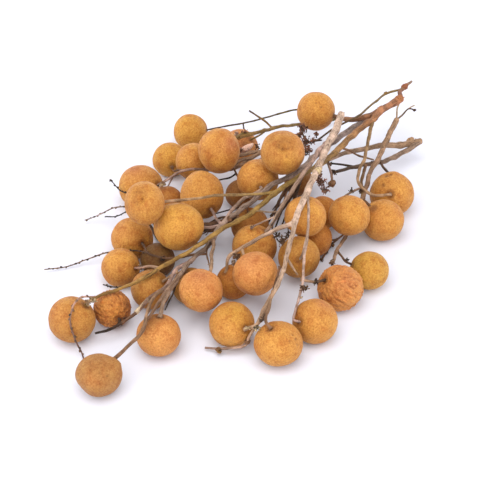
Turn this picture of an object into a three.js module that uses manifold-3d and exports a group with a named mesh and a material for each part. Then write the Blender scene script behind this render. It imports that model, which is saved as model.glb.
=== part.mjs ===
// A bunch of longans that lies on its side. Millimetres, +Z up, the table at z = 0.
// The cut ends of the woody stems point to +X and +Y, the loose end of the bunch to -Y.
import * as THREE from 'three';
import { mergeVertices } from 'three/addons/utils/BufferGeometryUtils.js';
import Module from 'manifold-3d';

const wasm = await Module();
wasm.setup();

// ---- driving dimensions ---------------------------------------------------------------------
const CENTRING = [-2.7, 2.3, 0]; // moves the lists below so that the origin is under the box's centre
const GAP = 0.3; // left between a stem and a fruit or another stem
const FOOT = 0.25; // how deep a lying fruit is flattened by the table

const FRUIT_SIDES = 12;
const FRUIT_RINGS = 8;
const FACET_ALLOWANCE = 1.01; // a faceted fruit is this much larger, so that its mean size is right
const FLATTENING = 0.03; // a fruit is this much shorter along its stem than it is wide
const STEM_HOLLOW = 0.04; // depth of the hollow at the stem end, in fruit radii
const TIP_HOLLOW = 0.02;
const HOLLOW_ANGLE = 0.34; // half width of both hollows, in radians
const SEAT_DEPTH = 2; // how far a twig's route runs on into its fruit, before it is cut off there

const COLLAR_SWELL = 0.25; // a twig is this much thicker where it leaves its stem
const SIDES_FROM_WIDTH = [[2.6, 6], [1.3, 5], [0, 4]]; // a twig this wide or more has this many sides
const TUBE_STEP = 14; // longest step of a tube
const BUD_STEP = 3.4; // the rings of a flower stalk are this far apart, thick and thin by turns
const BUD_SWELL = 1.9;
const CRUMB_RADIUS = 1.1;
const CRUMB_VARIATION = 0.6; // how much a crumb's radius varies, as a share of it
const RANDOM_FACTOR = 1103515245; // the three numbers of a plain row of random numbers
const RANDOM_STEP = 12345;
const RANDOM_RANGE = 2147483648;
const BLOCK = 80; // side of the block that cuts a fruit's flat spot

// ---- colours --------------------------------------------------------------------------------
const skin = material(0xc8823c, 0.7);
const oliveBark = material(0x96783c, 0.75);
const greyBark = material(0x7d6964, 0.8);
const paleBark = material(0xc8aa91, 0.75);
const tanBark = material(0xa88c6e, 0.75);
const darkTwig = material(0x4a3a2c, 0.85);

function material(colour, roughness) {
  return new THREE.MeshStandardMaterial({ color: colour, roughness, metalness: 0 });
}

// ---- fruits ---------------------------------------------------------------------------------
// Number, radius, centre, and the point that its twig comes from.
// A centre of two numbers lies on the table, and one of three is held at that height.
const FRUITS = [
  fruit(1, 11.8, [-33, 103.5], [-19, 102, 14]),
  fruit(2, 11.2, [-45.5, 71], [-44, 54, 20]),
  fruit(3, 12.8, [49.5, 91.5, 35], [71, 84, 33]),
  fruit(4, 13.6, [-13, 43.5, 36], [-4, 58, 37]),
  fruit(5, 11.8, [-29.5, 56, 19.5], [-16, 47, 21]),
  fruit(6, 13.2, [25.5, 21.5, 49.5], [35, 25, 34]),
  fruit(7, 11.9, [0, 85], [11, 80, 24]),
  fruit(8, 13.8, [-62, 36.5], [-48, 30, 20]),
  fruit(9, 12.2, [-54, -29.5, 49.5], [-42, -23, 46]),
  fruit(10, 14, [-23, 14, 23.5], [-16, 0, 21]),
  fruit(11, 13.8, [-35.5, -26.5, 30.5], [-21, -21, 26]),
  fruit(12, 12.7, [-64, -14], [-52, -30, 18]),
  fruit(13, 9.5, [-44.5, 20.5, 14.5], [-46, 30, 21]),
  fruit(14, 11.2, [-69, -40], [-56, -46, 15]),
  fruit(15, 10.2, [-48, -31.5], [-44, -42, 18]),
  fruit(16, 11.4, [-50.5, -59.5], [-41, -62, 21]),
  fruit(17, 12.9, [-92, -86.5], [-82, -85, 24]),
  fruit(18, 10.3, [-71, -75], [-65, -87, 10]),
  fruit(19, 12.2, [-73.5, -129], [-64, -122, 19]),
  fruit(20, 11.9, [-44, -98], [-43, -94, 25]),
  fruit(21, 12.1, [-21.5, -74.5, 23], [-15, -65, 31]),
  fruit(22, 10.3, [-3.5, -51], [-10, -53, 20]),
  fruit(23, 12.3, [8.5, -63.5, 26], [2, -52, 29]),
  fruit(24, 12.8, [8.5, -24.5, 14.5], [17, -24, 28]),
  fruit(25, 12.4, [-4.5, -90], [5, -101, 17]),
  fruit(26, 12.7, [20.5, -105.5], [15, -105, 26]),
  fruit(27, 12.4, [41, -87.5], [30, -95, 18]),
  fruit(28, 11.9, [34, -37, 16.5], [34, -50, 24]),
  fruit(29, 12.1, [38, -18.5, 32], [39, -16, 46]),
  fruit(30, 10.7, [44.5, -12], [56, -7, 5]),
  fruit(31, 12.2, [65, -5, 22.5], [74, 9, 20]),
  fruit(32, 12.7, [86.5, 4], [79, 2, 24]),
  fruit(33, 13.6, [94.5, 30], [91, 16, 23]),
  fruit(34, 12.8, [56.5, -59.5], [45, -61, 21]),
  fruit(35, 11.1, [74.5, -42.5], [63, -43, 16]),
  fruit(36, 12.7, [11, 24.5, 27.5], [13, 9, 31]),
  fruit(37, 9.7, [0.5, 34.5], [1, 45, 15]),
  fruit(38, 11.5, [6, 0], [5, -3, 26]),
  fruit(39, 10.4, [51, 14.5], [61, 22, 14]),
  fruit(40, 10.8, [-28, -55.5], [-31, -55, 23]),
  fruit(41, 9.4, [37.5, 49.5], [48, 51, 26]),
];

function fruit(number, radius, centre, twigFrom) {
  return { name: `fruit_${String(number).padStart(2, '0')}`, radius, centre, twigFrom };
}

// Distance from the centre to the skin of a fruit of radius 1, at an angle from its stem end.
function skinReach(angle) {
  const flattening = FLATTENING * Math.cos(angle) ** 2;
  const stemHollow = STEM_HOLLOW * Math.exp(-((angle / HOLLOW_ANGLE) ** 2));
  const tipHollow = TIP_HOLLOW * Math.exp(-(((Math.PI - angle) / HOLLOW_ANGLE) ** 2));
  return 1 - flattening - stemHollow - tipHollow;
}

// Where the centre of a fruit is: one that lies on the table has it one radius up.
function fruitCentre({ centre, radius }) {
  const [x, y, rise = radius - FOOT] = centre;
  return new THREE.Vector3(x, y, rise);
}

function stemDirection(one) {
  return new THREE.Vector3(...one.twigFrom).sub(fruitCentre(one)).normalize();
}

function fruitGeometry(one, grown = 0) {
  const profile = [];
  for (let ring = 0; ring <= FRUIT_RINGS; ring += 1) {
    const angle = Math.PI * (1 - ring / FRUIT_RINGS);
    const reach = one.radius * FACET_ALLOWANCE * skinReach(angle) + grown;
    profile.push(new THREE.Vector2(Math.abs(reach * Math.sin(angle)), reach * Math.cos(angle)));
  }
  const turn = new THREE.Quaternion().setFromUnitVectors(new THREE.Vector3(0, 1, 0), stemDirection(one));
  return new THREE.LatheGeometry(profile, FRUIT_SIDES).applyQuaternion(turn);
}

function fruitMesh(one) {
  let geometry = fruitGeometry(one);
  const place = fruitCentre(one);
  if (one.centre.length === 2) {
    geometry.computeBoundingBox();
    place.z = -geometry.boundingBox.min.z - FOOT;
    const block = new THREE.BoxGeometry(BLOCK, BLOCK, BLOCK).translate(0, 0, BLOCK / 2 - place.z);
    geometry = geometryOf(solidOf(geometry).intersect(solidOf(block)));
  }
  const mesh = new THREE.Mesh(geometry, skin);
  mesh.name = one.name;
  mesh.position.copy(place);
  return mesh;
}

// ---- joining and cutting --------------------------------------------------------------------
function solidOf(geometry) {
  const bare = geometry.clone();
  bare.deleteAttribute('normal');
  bare.deleteAttribute('uv');
  const merged = mergeVertices(bare);
  const corners = [];
  for (let i = 0; i < merged.index.count; i += 3) {
    const [a, b, c] = [0, 1, 2].map((k) => merged.index.getX(i + k));
    if (a !== b && b !== c && c !== a) corners.push(a, b, c);
  }
  return new wasm.Manifold(new wasm.Mesh({
    numProp: 3,
    vertProperties: new Float32Array(merged.attributes.position.array),
    triVerts: new Uint32Array(corners),
  }));
}

function geometryOf(solid) {
  const { vertProperties, triVerts } = solid.getMesh();
  const geometry = new THREE.BufferGeometry();
  geometry.setAttribute('position', new THREE.BufferAttribute(vertProperties, 3));
  geometry.setIndex(new THREE.BufferAttribute(triVerts, 1));
  return geometry;
}

function joined(solids) {
  return solids.reduce((whole, next) => whole.add(next));
}

// ---- twigs ----------------------------------------------------------------------------------
// A repeatable row of numbers from 0 to 1.
function randomRow(seed) {
  let state = seed;
  return () => {
    state = (state * RANDOM_FACTOR + RANDOM_STEP) % RANDOM_RANGE;
    return state / RANDOM_RANGE;
  };
}

function curveThrough(route) {
  return new THREE.CatmullRomCurve3(route.map((point) => new THREE.Vector3(...point)), false, 'centripetal');
}

// The rings of a tube: each has its centre and two directions across the curve there.
function ringsAlong(curve, steps) {
  const rings = [];
  let across = new THREE.Vector3(1, 2, 3);
  for (let row = 0; row <= steps; row += 1) {
    const tangent = curve.getTangent(row / steps);
    across = across.clone().projectOnPlane(tangent).normalize();
    rings.push({ centre: curve.getPoint(row / steps), across, over: across.clone().cross(tangent) });
  }
  return rings;
}

// A round twig along a route, from one thickness to another, with a swollen collar at its start.
// Every second ring of a flower stalk is swollen by its buds.
function tube({ route, width, endWidth, budded }, grown = 0) {
  const curve = curveThrough(route);
  const length = curve.getLength();
  const spans = route.length - 1;
  const steps = spans * Math.ceil(length / spans / (budded ? BUD_STEP : TUBE_STEP));
  const [, sides] = SIDES_FROM_WIDTH.find(([from]) => width >= from);
  const rings = ringsAlong(curve, steps);
  const geometry = new THREE.CylinderGeometry(1, 1, 1, sides, steps);
  const position = geometry.attributes.position;
  for (let i = 0; i < position.count; i += 1) {
    const row = Math.round((position.getY(i) + 0.5) * steps);
    const along = row / steps;
    const collar = 1 + COLLAR_SWELL * Math.exp(-((along * length) / width));
    const bud = budded && row % 2 === 1 ? BUD_SWELL : 1;
    const radius = (THREE.MathUtils.lerp(width, endWidth, along) / 2) * collar * bud + grown;
    const point = rings[row].centre.clone()
      .addScaledVector(rings[row].across, radius * position.getX(i))
      .addScaledVector(rings[row].over, radius * position.getZ(i));
    position.setXYZ(i, point.x, point.y, point.z);
  }
  return solidOf(geometry);
}

// The point inside a numbered fruit where its twig's route ends.
function seat(number) {
  const one = FRUITS[number - 1];
  return stemDirection(one).multiplyScalar(one.radius - SEAT_DEPTH).add(fruitCentre(one)).toArray();
}

// One twig of a family: a thickness at each end, a route, and what grows on it.
function twig(width, endWidth, route, extras = {}) {
  const whole = extras.fruit ? [...route, seat(extras.fruit)] : route;
  return { width, endWidth, route: whole, budded: extras.budded, crumbs: extras.crumbs ?? 0 };
}

function knob([x, y, z], radius) {
  return solidOf(new THREE.IcosahedronGeometry(radius, 0).translate(x, y, z));
}

// A clump of dried flowers: each crumb grows a little way off the one before it.
function crumbsAt(start, count, seed) {
  const random = randomRow(seed);
  const place = new THREE.Vector3(...start);
  const crumbs = [];
  for (let i = 0; i < count; i += 1) {
    const radius = CRUMB_RADIUS * (1 + CRUMB_VARIATION * (random() - 0.5));
    const crumb = new THREE.OctahedronGeometry(radius, 0).rotateX(random()).rotateY(random());
    crumbs.push(solidOf(crumb.translate(place.x, place.y, place.z)));
    const heading = new THREE.Vector3(random() - 0.5, random() - 0.5, random() - 0.4).normalize();
    place.addScaledVector(heading, radius);
  }
  return crumbs;
}

function twigSolids(one, index) {
  const solids = [tube(one)];
  if (one.crumbs > 0) solids.push(...crumbsAt(one.route[one.route.length - 1], one.crumbs, index + 1));
  return solids;
}

// The solid that keeps other stems off a family: its twigs, grown by the gap.
function clearanceOf(twigs) {
  return joined(twigs.map((one) => tube(one, GAP)));
}

// ---- the stems and what hangs on them -------------------------------------------------------
// The middle stem: red-brown and thick at its cut end, olive where it crosses the whole bunch.
const middleStem = [
  twig(5, 2.8, [[107, 110, 33], [97, 99, 34], [88, 89, 35], [80, 83, 35.5], [71, 84, 33]], { fruit: 3 }),
  twig(2.8, 1.8, [[107, 110, 33], [107, 118, 33], [112, 128, 32], [117, 136, 31]]),
  twig(1.5, 1.1, [[107, 118, 33], [101, 115, 34], [96, 110, 36], [89, 99, 38], [78, 81, 40], [73, 75, 40],
    [66, 72, 38], [59, 70, 35], [48, 61, 32], [42, 60, 32]]),
  twig(1.1, 1, [[42, 60, 32], [40, 67, 33], [40, 73, 34]], { crumbs: 8 }),
  twig(1.1, 1, [[42, 60, 32], [41, 54, 32], [42, 47, 32]], { crumbs: 6 }),
  twig(1.2, 1, [[42, 60, 32], [47, 57, 34.5], [51, 54, 37]]),
  twig(4.4, 1.8, [[93, 95, 35], [86, 81, 36], [76, 67, 37], [62, 46, 37], [53, 32, 37], [39, 17, 38],
    [22, -1, 37], [5, -17, 32], [-13, -31, 30], [-28, -47, 29], [-45, -59, 26], [-61, -70, 23],
    [-77, -79, 23], [-82, -85, 24]], { fruit: 17 }),
  twig(1.8, 1.5, [[22, -1, 37], [11, -5, 38], [-1, -8, 40], [-13, -12, 42], [-28, -18, 44]], { fruit: 9 }),
  twig(2.4, 1.9, [[86, 81, 36], [82, 64, 35], [78, 44, 32], [73, 31, 29], [73, 23, 26], [80, 17, 22],
    [91, 15, 23]], { fruit: 33 }),
  twig(1.6, 1.3, [[-45, -59, 26], [-50, -56, 25], [-56, -51, 20]], { fruit: 14 }),
  twig(1, 1, [[-64, -71, 23], [-70, -67, 19], [-77, -60, 15]], { budded: true }),
  twig(1, 1, [[-79, -81, 24], [-87, -87, 28], [-91, -97, 23], [-89, -101, 12], [-86, -102, 2]],
    { budded: true }),
  twig(1.3, 1.1, [[62, 46, 37], [67, 46, 35], [76, 48, 29], [84, 50, 25]]),
  twig(1.6, 1.3, [[53, 32, 37], [55, 27, 33], [56, 24, 30], [56, 21, 28]]),
];
const middleKnobs = [
  knob([105, 108, 34], 3.1),
  knob([110, 124, 33], 2.4),
  knob([56, 20.5, 27.5], 2.4),
];

// The grey stem beside it, which ends on a fruit of the loose end and carries the left side.
const greyStem = [
  twig(4, 2.2, [[86, 94, 30], [70, 73, 32], [53, 50, 34], [40, 31, 34], [30, 20, 33], [21, 13, 33],
    [6, -1, 29], [-11, -18, 25], [-17, -32, 23], [-28, -49, 23], [-35, -67, 24], [-41, -85, 25]],
  { fruit: 20 }),
  twig(2.4, 1.8, [[14, 9, 32], [10, 7, 30], [3.5, 4.5, 29], [-2.5, -3, 28], [-9.5, -15.5, 25.5],
    [-13, -22, 24]]),
  twig(1.5, 1.3, [[53, 50, 34], [50, 51, 29]], { fruit: 41 }),
  twig(2.4, 1.8, [[-28, -49, 23], [-36, -57, 23], [-41, -66, 19], [-50, -74, 17], [-57, -81, 13],
    [-65, -87, 10], [-74, -91, 8], [-79, -93, 8]]),
  twig(1.8, 2, [[-44, -69, 18], [-48, -81, 22], [-50, -96, 24], [-52, -109, 23], [-57, -116, 22]],
    { fruit: 19 }),
  twig(1.8, 1.5, [[-11, -18, 25], [-14, -8, 23]], { fruit: 10 }),
  twig(1.8, 1.5, [[-11, -18, 25], [-16, -20, 25]], { fruit: 11 }),
  twig(2.2, 1.8, [[-16, -29, 24], [-15, -37, 26], [-16, -49, 27], [-16, -60, 29]], { fruit: 21 }),
  twig(1.5, 1.3, [[-35, -58, 23], [-38, -60, 22]], { fruit: 16 }),
  twig(1.4, 1.2, [[-65, -87, 10], [-66, -85, 10]], { fruit: 18 }),
  twig(1.8, 1.5, [[36, 26, 34]], { fruit: 6 }),
  twig(1.5, 1.3, [[13, 6, 31]], { fruit: 36 }),
  twig(1.5, 1.3, [[4, -3, 28]], { fruit: 38 }),
  twig(1.4, 1.2, [[-31, -57, 23]], { fruit: 40 }),
];

// The pale stem on top, from its thick cut end down to the fruits in front.
const paleStem = [
  twig(4.4, 2.6, [[64, 70, 46], [60, 54, 46], [53, 33, 47], [47, 12, 47], [40, -11, 47], [34, -28, 45],
    [29, -46, 42], [25, -61, 37], [20, -74, 31], [12, -88, 25], [7, -98, 19]], { fruit: 25 }),
  twig(1.8, 1.6, [[15, -81, 28], [13, -92, 26], [13, -102, 25]], { fruit: 26 }),
  twig(2.6, 1.8, [[30, -40, 43], [20, -39, 38], [9, -40, 31], [1, -43, 28], [-6, -47, 25]], { fruit: 22 }),
  twig(1.5, 1.3, [[39, -16, 47], [39, -31, 42], [38, -43, 38], [36, -56, 33], [34, -74, 26], [30, -88, 20],
    [29, -93, 18]], { fruit: 27 }),
  twig(1.4, 1.2, [[25, -61, 37], [29, -64, 31], [32, -66, 27]], { crumbs: 4 }),
  twig(1.6, 1.3, [[34, -70, 27], [40, -67, 23]], { fruit: 34 }),
  twig(1.8, 1.6, [[42, -5, 47], [41, -10, 47]], { fruit: 29 }),
  twig(1.8, 1.5, [[1, -43, 28]], { fruit: 23 }),
  twig(1.4, 1.2, [[38, -43, 38], [36, -48, 31]], { fruit: 28 }),
  twig(1.6, 1.3, [[7, -98, 19], [5, -101, 13], [3, -101, 7], [-3, -102, 6], [-10, -101, 4], [-19, -98, 2]]),
];
const paleKnobs = [
  knob([4, -101, 9], 1.7),
  knob([-12, -101, 3.5], 1.6),
];

// A branch that leans over the middle of the bunch and breaks up into fine twigs.
const leaningBranch = [
  twig(2.8, 2.1, [[52, 34, 47], [47, 24, 49], [44, 16, 49], [37, 2, 48], [30, -10, 43], [23, -18, 36],
    [19, -22, 30]], { fruit: 24 }),
  twig(1.1, 1, [[27, -14, 40], [23, -22, 38], [18, -30, 34]], { crumbs: 6 }),
  twig(1, 1, [[21, -20, 33], [14, -22, 31], [7, -26, 30]], { crumbs: 4 }),
];

// The stem down the right side, forked at its top end.
const rightStem = [
  twig(3.8, 2.4, [[103, 95, 26], [95, 75, 24], [89, 59, 22], [83, 46, 21], [78, 28, 20], [75, 17, 19]],
    { fruit: 31 }),
  twig(2.2, 1.8, [[75, 17, 19], [76, 35, 21], [79, 46, 24]]),
  twig(1.8, 1.6, [[75, 17, 19], [77, 9, 21]], { fruit: 32 }),
  twig(1.5, 1.3, [[78, 28, 20], [70, 26, 18]], { fruit: 39 }),
  twig(2.2, 1.9, [[75, 17, 19], [71, 12, 10], [67, 2, 7], [61, -13, 9], [58, -23, 12], [55, -35, 16],
    [53, -46, 20]]),
  twig(1.2, 1.1, [[67, 2, 7], [59, -4, 4]], { fruit: 30 }),
  twig(1.2, 1.1, [[59, -4, 4], [54.5, -8.5, 2], [51.5, -14, 1.2], [48.5, -21, 1.2]]),
  twig(1.5, 1.3, [[57, -27, 13], [61, -38, 14]], { fruit: 35 }),
  twig(1.2, 1.1, [[103, 95, 26], [109, 103, 27], [116, 109, 28]]),
  twig(1.2, 1, [[103, 95, 26], [104, 104, 28], [106, 111, 28]]),
];

// The forked woody end at the right, which lies lowest.
const forkedEnd = [
  twig(4.2, 2.4, [[119, 88, 14], [112, 84, 15], [103, 80, 16], [94, 77, 18], [84, 71, 20], [73, 65, 22],
    [62, 56, 24]]),
  twig(3.6, 2, [[119, 88, 14], [110, 78, 14], [103, 72, 14], [94, 64, 15], [86, 58, 17], [72, 48, 21],
    [60, 37, 25]], { crumbs: 5 }),
  twig(1.5, 1.1, [[72, 48, 21], [66, 47, 23], [57, 46, 25]]),
  twig(1.8, 1.5, [[90, 61, 16], [91, 53, 17], [93, 45, 19]]),
  twig(1.1, 1, [[60, 37, 25], [57, 39, 21], [58, 36, 18]], { crumbs: 3 }),
];
const forkedKnobs = [
  knob([112, 86, 15.5], 2.9),
  knob([94, 77, 20], 1.8),
];

// The twig behind the upper fruits, which runs down to the table behind them.
const backTwig = [
  twig(2.4, 2, [[-1, 62, 34], [10, 73, 30], [17, 83, 26], [26, 96, 20], [41, 112, 12], [59, 126, 5],
    [66, 131, 4]]),
  twig(1.6, 1.4, [[10, 73, 30], [2, 66, 34]], { fruit: 4 }),
  twig(1.4, 1.2, [[21.5, 89.5, 23], [14, 95, 27], [6, 100, 30]]),
  twig(1.3, 1.2, [[17, 83, 26], [13, 80, 24]], { fruit: 7 }),
];

// The thin stalk behind the bunch with a dried fruitlet.
const thinBackTwig = [
  twig(1.3, 1, [[60, 127, 7.5], [50, 129, 12], [38, 127, 14], [18, 117, 14], [2, 110, 14], [-10, 106, 14]],
    { fruit: 1, budded: true }),
  twig(1, 1, [[2, 110, 14], [3, 104, 11]], { crumbs: 4 }),
];

// The flower stalks at the left.
const leftTwig = [
  twig(2.4, 1.3, [[14, 63, 22], [6, 61, 18], [-4, 53, 16], [-18, 49, 18], [-27, 41, 24], [-35, 37, 26],
    [-41, 31, 26], [-47, 22, 27]]),
  twig(1.2, 1.1, [[-41, 31, 26]], { fruit: 8 }),
  twig(1.2, 1, [[-47, 22, 27], [-51, 16, 25], [-63, 14, 16], [-77, 17, 12], [-89, 16, 6], [-96, 16, 3]],
    { budded: true }),
  twig(1, 1, [[-63, 14, 16], [-75, 11, 10], [-83, 13, 8]], { budded: true }),
  twig(1, 1, [[-47, 22, 27], [-54, 23, 22], [-61, 22, 19.5], [-70, 24, 18], [-74, 28, 17], [-80, 33, 21]],
    { budded: true }),
  twig(1.2, 1.1, [[-4, 53, 16]], { fruit: 37 }),
  twig(1.2, 1.1, [[-18, 49, 18]], { fruit: 5 }),
  twig(1.1, 1, [[-41, 31, 26]], { fruit: 13 }),
  twig(1.1, 1, [[-35, 37, 26], [-41, 46, 24], [-44, 54, 20]], { fruit: 2 }),
  twig(2.6, 2.2, [[14, 63, 22], [6, 58, 25], [0, 54, 26], [-4, 52, 25.5]]),
  twig(2.4, 1.9, [[14, 63, 22], [6, 53, 24], [0, 50, 24], [-5, 47, 22]]),
  twig(1.9, 1.5, [[14, 63, 22], [14, 54, 24], [6.5, 47.5, 24], [-3, 46.5, 22.5]]),
];
const leftKnobs = [knob([4.5, 61, 25.5], 2.8)];

// The flower stalk that comes out from under the middle and reaches furthest to the left.
const farLeftTwig = [
  twig(1.5, 1.2, [[-19, -36, 18], [-28, -36, 17], [-37, -41, 19], [-44, -42, 20], [-53, -37, 19.5],
    [-56, -30, 19.5]], { fruit: 12 }),
  twig(1.1, 1, [[-53, -37, 19.5], [-62, -31, 16.5], [-68, -28, 13], [-76, -23, 9], [-81, -22, 7], [-91, -24, 4],
    [-102, -28, 2], [-115, -32, 3]], { budded: true }),
  twig(1.2, 1.1, [[-44, -42, 20]], { fruit: 15 }),
];

// ---- the whole bunch ------------------------------------------------------------------------
const STEMS = [
  { name: 'middle_stem', bark: oliveBark, twigs: middleStem, knobs: middleKnobs },
  { name: 'grey_stem', bark: greyBark, twigs: greyStem },
  { name: 'pale_stem', bark: paleBark, twigs: paleStem, knobs: paleKnobs },
  { name: 'leaning_branch', bark: greyBark, twigs: leaningBranch },
  { name: 'right_stem', bark: tanBark, twigs: rightStem },
  { name: 'forked_end', bark: tanBark, twigs: forkedEnd, knobs: forkedKnobs },
  { name: 'back_twig', bark: oliveBark, twigs: backTwig },
  { name: 'thin_back_twig', bark: darkTwig, twigs: thinBackTwig },
  { name: 'left_twig', bark: darkTwig, twigs: leftTwig, knobs: leftKnobs },
  { name: 'far_left_twig', bark: darkTwig, twigs: farLeftTwig },
];

function fruitsGrown() {
  return joined(FRUITS.map((one) => solidOf(fruitGeometry(one, GAP).translate(...fruitCentre(one)))));
}

// Adds the stems one by one, each cut clear of the fruits and of the stems before it.
function addStems(group) {
  let taken = fruitsGrown();
  for (const { name, bark, twigs, knobs = [] } of STEMS) {
    const solid = joined([...twigs.flatMap(twigSolids), ...knobs]).subtract(taken);
    const mesh = new THREE.Mesh(geometryOf(solid), bark);
    mesh.name = name;
    group.add(mesh);
    taken = taken.add(clearanceOf(twigs));
  }
}

const bunch = new THREE.Group();
FRUITS.forEach((one) => bunch.add(fruitMesh(one)));
addStems(bunch);
bunch.position.set(...CENTRING);

export default bunch;
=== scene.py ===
"""A bunch of longans that lies on its side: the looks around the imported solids."""

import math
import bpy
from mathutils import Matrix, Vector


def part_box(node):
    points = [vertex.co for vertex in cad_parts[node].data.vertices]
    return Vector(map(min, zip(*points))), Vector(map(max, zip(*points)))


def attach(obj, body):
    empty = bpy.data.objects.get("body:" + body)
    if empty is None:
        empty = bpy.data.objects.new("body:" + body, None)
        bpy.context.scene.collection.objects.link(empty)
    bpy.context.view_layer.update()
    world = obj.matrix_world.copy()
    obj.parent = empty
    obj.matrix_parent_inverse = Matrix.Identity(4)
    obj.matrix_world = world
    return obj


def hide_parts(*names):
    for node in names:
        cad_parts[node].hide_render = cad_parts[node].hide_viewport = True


bl_info = {
    "name": "Longan Bunch",
    "version": (1, 0, 0),
    "blender": (4, 5, 0),
    "location": "View3D > Sidebar > Longans",
    "description": "Builds a bunch of longans, its woody stems, dry flower stalks and a plain studio",
    "category": "Object",
}

import bpy
import numpy as np
from mathutils import Euler, Matrix, Vector

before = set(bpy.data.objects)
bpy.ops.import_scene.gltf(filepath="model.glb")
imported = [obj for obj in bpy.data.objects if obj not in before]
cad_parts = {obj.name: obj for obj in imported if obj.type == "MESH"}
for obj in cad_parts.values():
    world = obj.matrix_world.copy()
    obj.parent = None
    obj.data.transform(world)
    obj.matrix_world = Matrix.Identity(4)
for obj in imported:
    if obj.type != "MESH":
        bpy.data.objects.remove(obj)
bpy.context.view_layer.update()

MM = 0.001

# The lists below are in millimetres. The bunch is moved by this much, so that the origin is under its centre.
CENTRING = Vector((-2.7, 2.3, 0))


def place(point):
    """A point of the lists below, in metres and in the frame of the solids."""
    return (Vector(point) + CENTRING) * MM


# The view: its height over the table as an angle, its distance in metres, and its field.
CAMERA_HEIGHT_ANGLE = math.radians(38)
CAMERA_DISTANCE = 0.742
IMAGE_SIDE = 480
FOCAL_PIXELS = 1217

# ---- colours, linear ---------------------------------------------------------------------------
GOLDEN = (0.500, 0.226, 0.045)
YELLOW_GOLD = (0.530, 0.256, 0.044)
OLIVE_GOLD = (0.448, 0.222, 0.030)
BLUSH = (0.515, 0.218, 0.056)
TAWNY = (0.345, 0.158, 0.042)
DEEP_GOLD = (0.430, 0.192, 0.040)
RUSSET = (0.432, 0.162, 0.027)
# Painted shade: the shade round a fruit's hollow, and the shadow that stems cast on a fruit.
PAINTED_SHADE_RUSSET = (0.200, 0.072, 0.016)
PINK_BLUSH = (0.420, 0.150, 0.062)
GREEN_CAST = (0.270, 0.150, 0.018)
WARM_GOLD = (0.465, 0.212, 0.044)
LIGHT_GOLD = (0.505, 0.242, 0.042)
SOFT_GOLD = (0.430, 0.198, 0.036)
DRY_GOLD = (0.440, 0.172, 0.040)
DULL_GOLD = (0.380, 0.166, 0.032)
OLIVE_YELLOW = (0.490, 0.250, 0.040)
SHADED_RUSSET = (0.350, 0.136, 0.026)
SHADED_GOLD = (0.340, 0.135, 0.024)
SHADED_OLIVE = (0.320, 0.142, 0.028)
DEEP_SHADE = (0.255, 0.103, 0.024)
DEEPER_SHADE = (0.235, 0.095, 0.022)
OLIVE_SHADE = (0.165, 0.080, 0.022)
BROWN_SPOT = (0.150, 0.055, 0.016)
BLACK_SPOT = (0.045, 0.022, 0.010)

REDWOOD = (0.230, 0.076, 0.036)
ORANGE_WOOD = (0.300, 0.116, 0.046)
OLIVE_WOOD = (0.225, 0.136, 0.034)
OLIVE_BROWN = (0.190, 0.105, 0.032)
GREEN_WOOD = (0.140, 0.100, 0.020)
YELLOW_WOOD = (0.270, 0.140, 0.032)
GREY_WOOD = (0.262, 0.196, 0.166)
GREY_BROWN = (0.285, 0.182, 0.116)
PINK_GREY = (0.335, 0.214, 0.166)
PALE_WOOD = (0.420, 0.290, 0.205)
STRAW = (0.520, 0.390, 0.220)
TAN_WOOD = (0.325, 0.192, 0.104)
SHADED_TAN = (0.235, 0.125, 0.066)
PEELED_WOOD = (0.660, 0.520, 0.330)
BROWN_WOOD = (0.165, 0.080, 0.038)
PINK_STALK = (0.420, 0.235, 0.160)
BROWN_STALK = (0.150, 0.070, 0.045)
DRY_BROWN = (0.062, 0.033, 0.019)
DRY_BLACK = (0.028, 0.019, 0.014)
DRY_RED = (0.260, 0.105, 0.066)
DRY_PINK = (0.420, 0.250, 0.190)
PINK_SCALE = (0.740, 0.470, 0.370)
PALE_SCALE = (0.780, 0.540, 0.420)
BROWN_SCALE = (0.340, 0.170, 0.110)
PALE_HUSK = (0.500, 0.360, 0.220)
DARK_HUSK = (0.020, 0.013, 0.010)

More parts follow.
